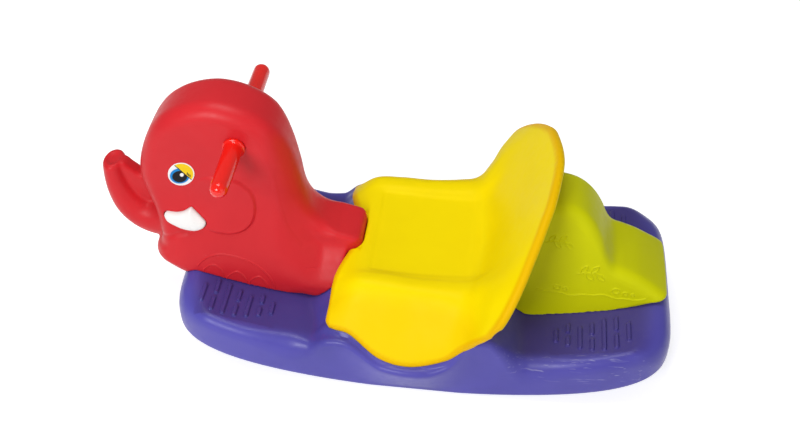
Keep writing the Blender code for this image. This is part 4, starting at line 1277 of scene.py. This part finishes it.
seat = buildSeat()
base = buildBase()
print("lofted seat and base")
shellGap = 0.0003
baseSpace = copyOf(base, "baseSpace", shellGap)
seatSpace = copyOf(seat, "seatSpace", shellGap)
head = buildHead(copyOf(baseSpace, "headCut"))
rump = buildRump(baseSpace, copyOf(seatSpace, "rumpCut"))
cutNotch(seat)
combine(base, seatSpace)
raiseRibs(base)
cutWells(base)
markBaseWearAndShade(base)
paintSeatShade(seat)

finishPiece(seat, yellowPlastic, ["saddle_seat"], 40)
finishPiece(base, purplePlastic, ["rocker_base"], 40)
finishPiece(head, redPlastic, ["head_shell"], 50)
finishPiece(rump, greenPlastic, ["rump_shell"], 50)
eyePaper = stickerMaterial()
for side, name in ((-1, "left"), (1, "right")):
    finishPiece(buildGrip("grip_" + name + "_fine", side), glossyRed, ["grip_" + name], 50)
    finishPiece(buildTusk("tusk_" + name + "_fine", side), whitePlastic, ["tusk_" + name], 60)
    finishPiece(buildEye("eye_" + name + "_fine", side), eyePaper, ["eye_" + name], 40)
for place in screwPlaces:
    buildScrew(place)
nodes["grip_rod"].data.materials.clear()
nodes["grip_rod"].data.materials.append(zinc)


# Studio: pale floor, soft lamps and the photograph's camera

studio = {
    "cameraPlace": (0.1107822, -1.32597331, 1.45000173),
    "cameraTurn": (47.0, 0.0, 6.82),
    "lens": 48.69,
    "floorLevel": -0.0004,
    "floorGlow": 0.60,
    "sky": 0.33,
    "lamps": (               # name, place, turn in degrees, size and power
        ("keyLamp", (-1.0, -2.4, 1.6), (61.0, 0.0, -22.0), 1.0, 40.0),
        ("fillLamp", (1.7, -1.9, 1.0), (70.0, 0.0, 42.0), 1.6, 7.0),
        ("topLamp", (-0.3, -0.1, 2.4), (0.0, 0.0, 0.0), 1.0, 19.0),
    ),
}


def buildStudio():
    bpy.ops.object.select_all(action="DESELECT")
    bpy.ops.mesh.primitive_plane_add(size=12.0, location=(0, 0, studio["floorLevel"]))
    floor = bpy.context.object
    floor.name = "studioFloor"
    material, shader = newMaterial("pale floor", 0.9)
    shader.inputs["Base Color"].default_value = (0.86, 0.86, 0.86, 1.0)
    shader.inputs["Specular IOR Level"].default_value = 0.0
    rays = addNode(material, "ShaderNodeLightPath")
    seen = addNode(material, "ShaderNodeMath", operation="MAXIMUM")
    seenAll = addNode(material, "ShaderNodeMath", operation="MAXIMUM")
    link(material, rays, "Is Camera Ray", seen, 0)
    link(material, rays, "Is Glossy Ray", seen, 1)
    link(material, seen, 0, seenAll, 0)
    link(material, rays, "Is Transmission Ray", seenAll, 1)
    glow = addNode(material, "ShaderNodeMath", operation="MULTIPLY")
    glow.inputs[1].default_value = studio["floorGlow"]
    link(material, seenAll, 0, glow, 0)
    shader.inputs["Emission Color"].default_value = (1.0, 1.0, 1.0, 1.0)
    link(material, glow, 0, shader, "Emission Strength")
    floor.data.materials.append(material)

    world = bpy.data.worlds.new("studio sky")
    world.use_nodes = True
    tree = world.node_tree
    sky = tree.nodes["Background"]
    sky.inputs["Color"].default_value = (1.0, 1.0, 1.0, 1.0)
    path = tree.nodes.new("ShaderNodeLightPath")
    strength = tree.nodes.new("ShaderNodeMapRange")
    strength.inputs["To Min"].default_value = studio["sky"]
    strength.inputs["To Max"].default_value = 1.0
    tree.links.new(path.outputs["Is Camera Ray"], strength.inputs["Value"])
    tree.links.new(strength.outputs["Result"], sky.inputs["Strength"])
    bpy.context.scene.world = world

    for name, place, turn, size, power in studio["lamps"]:
        bpy.ops.object.light_add(type="AREA", location=place, rotation=[radians(a) for a in turn])
        lamp = bpy.context.object
        lamp.name = name
        lamp.data.size = size
        lamp.data.energy = power

    turn = [radians(a) for a in studio["cameraTurn"]]
    bpy.ops.object.camera_add(location=studio["cameraPlace"], rotation=turn)
    camera = bpy.context.object
    camera.name = "photoCamera"
    camera.data.lens = studio["lens"]
    camera.data.sensor_width = 36.0
    bpy.context.scene.camera = camera


buildStudio()
print("studio ready")
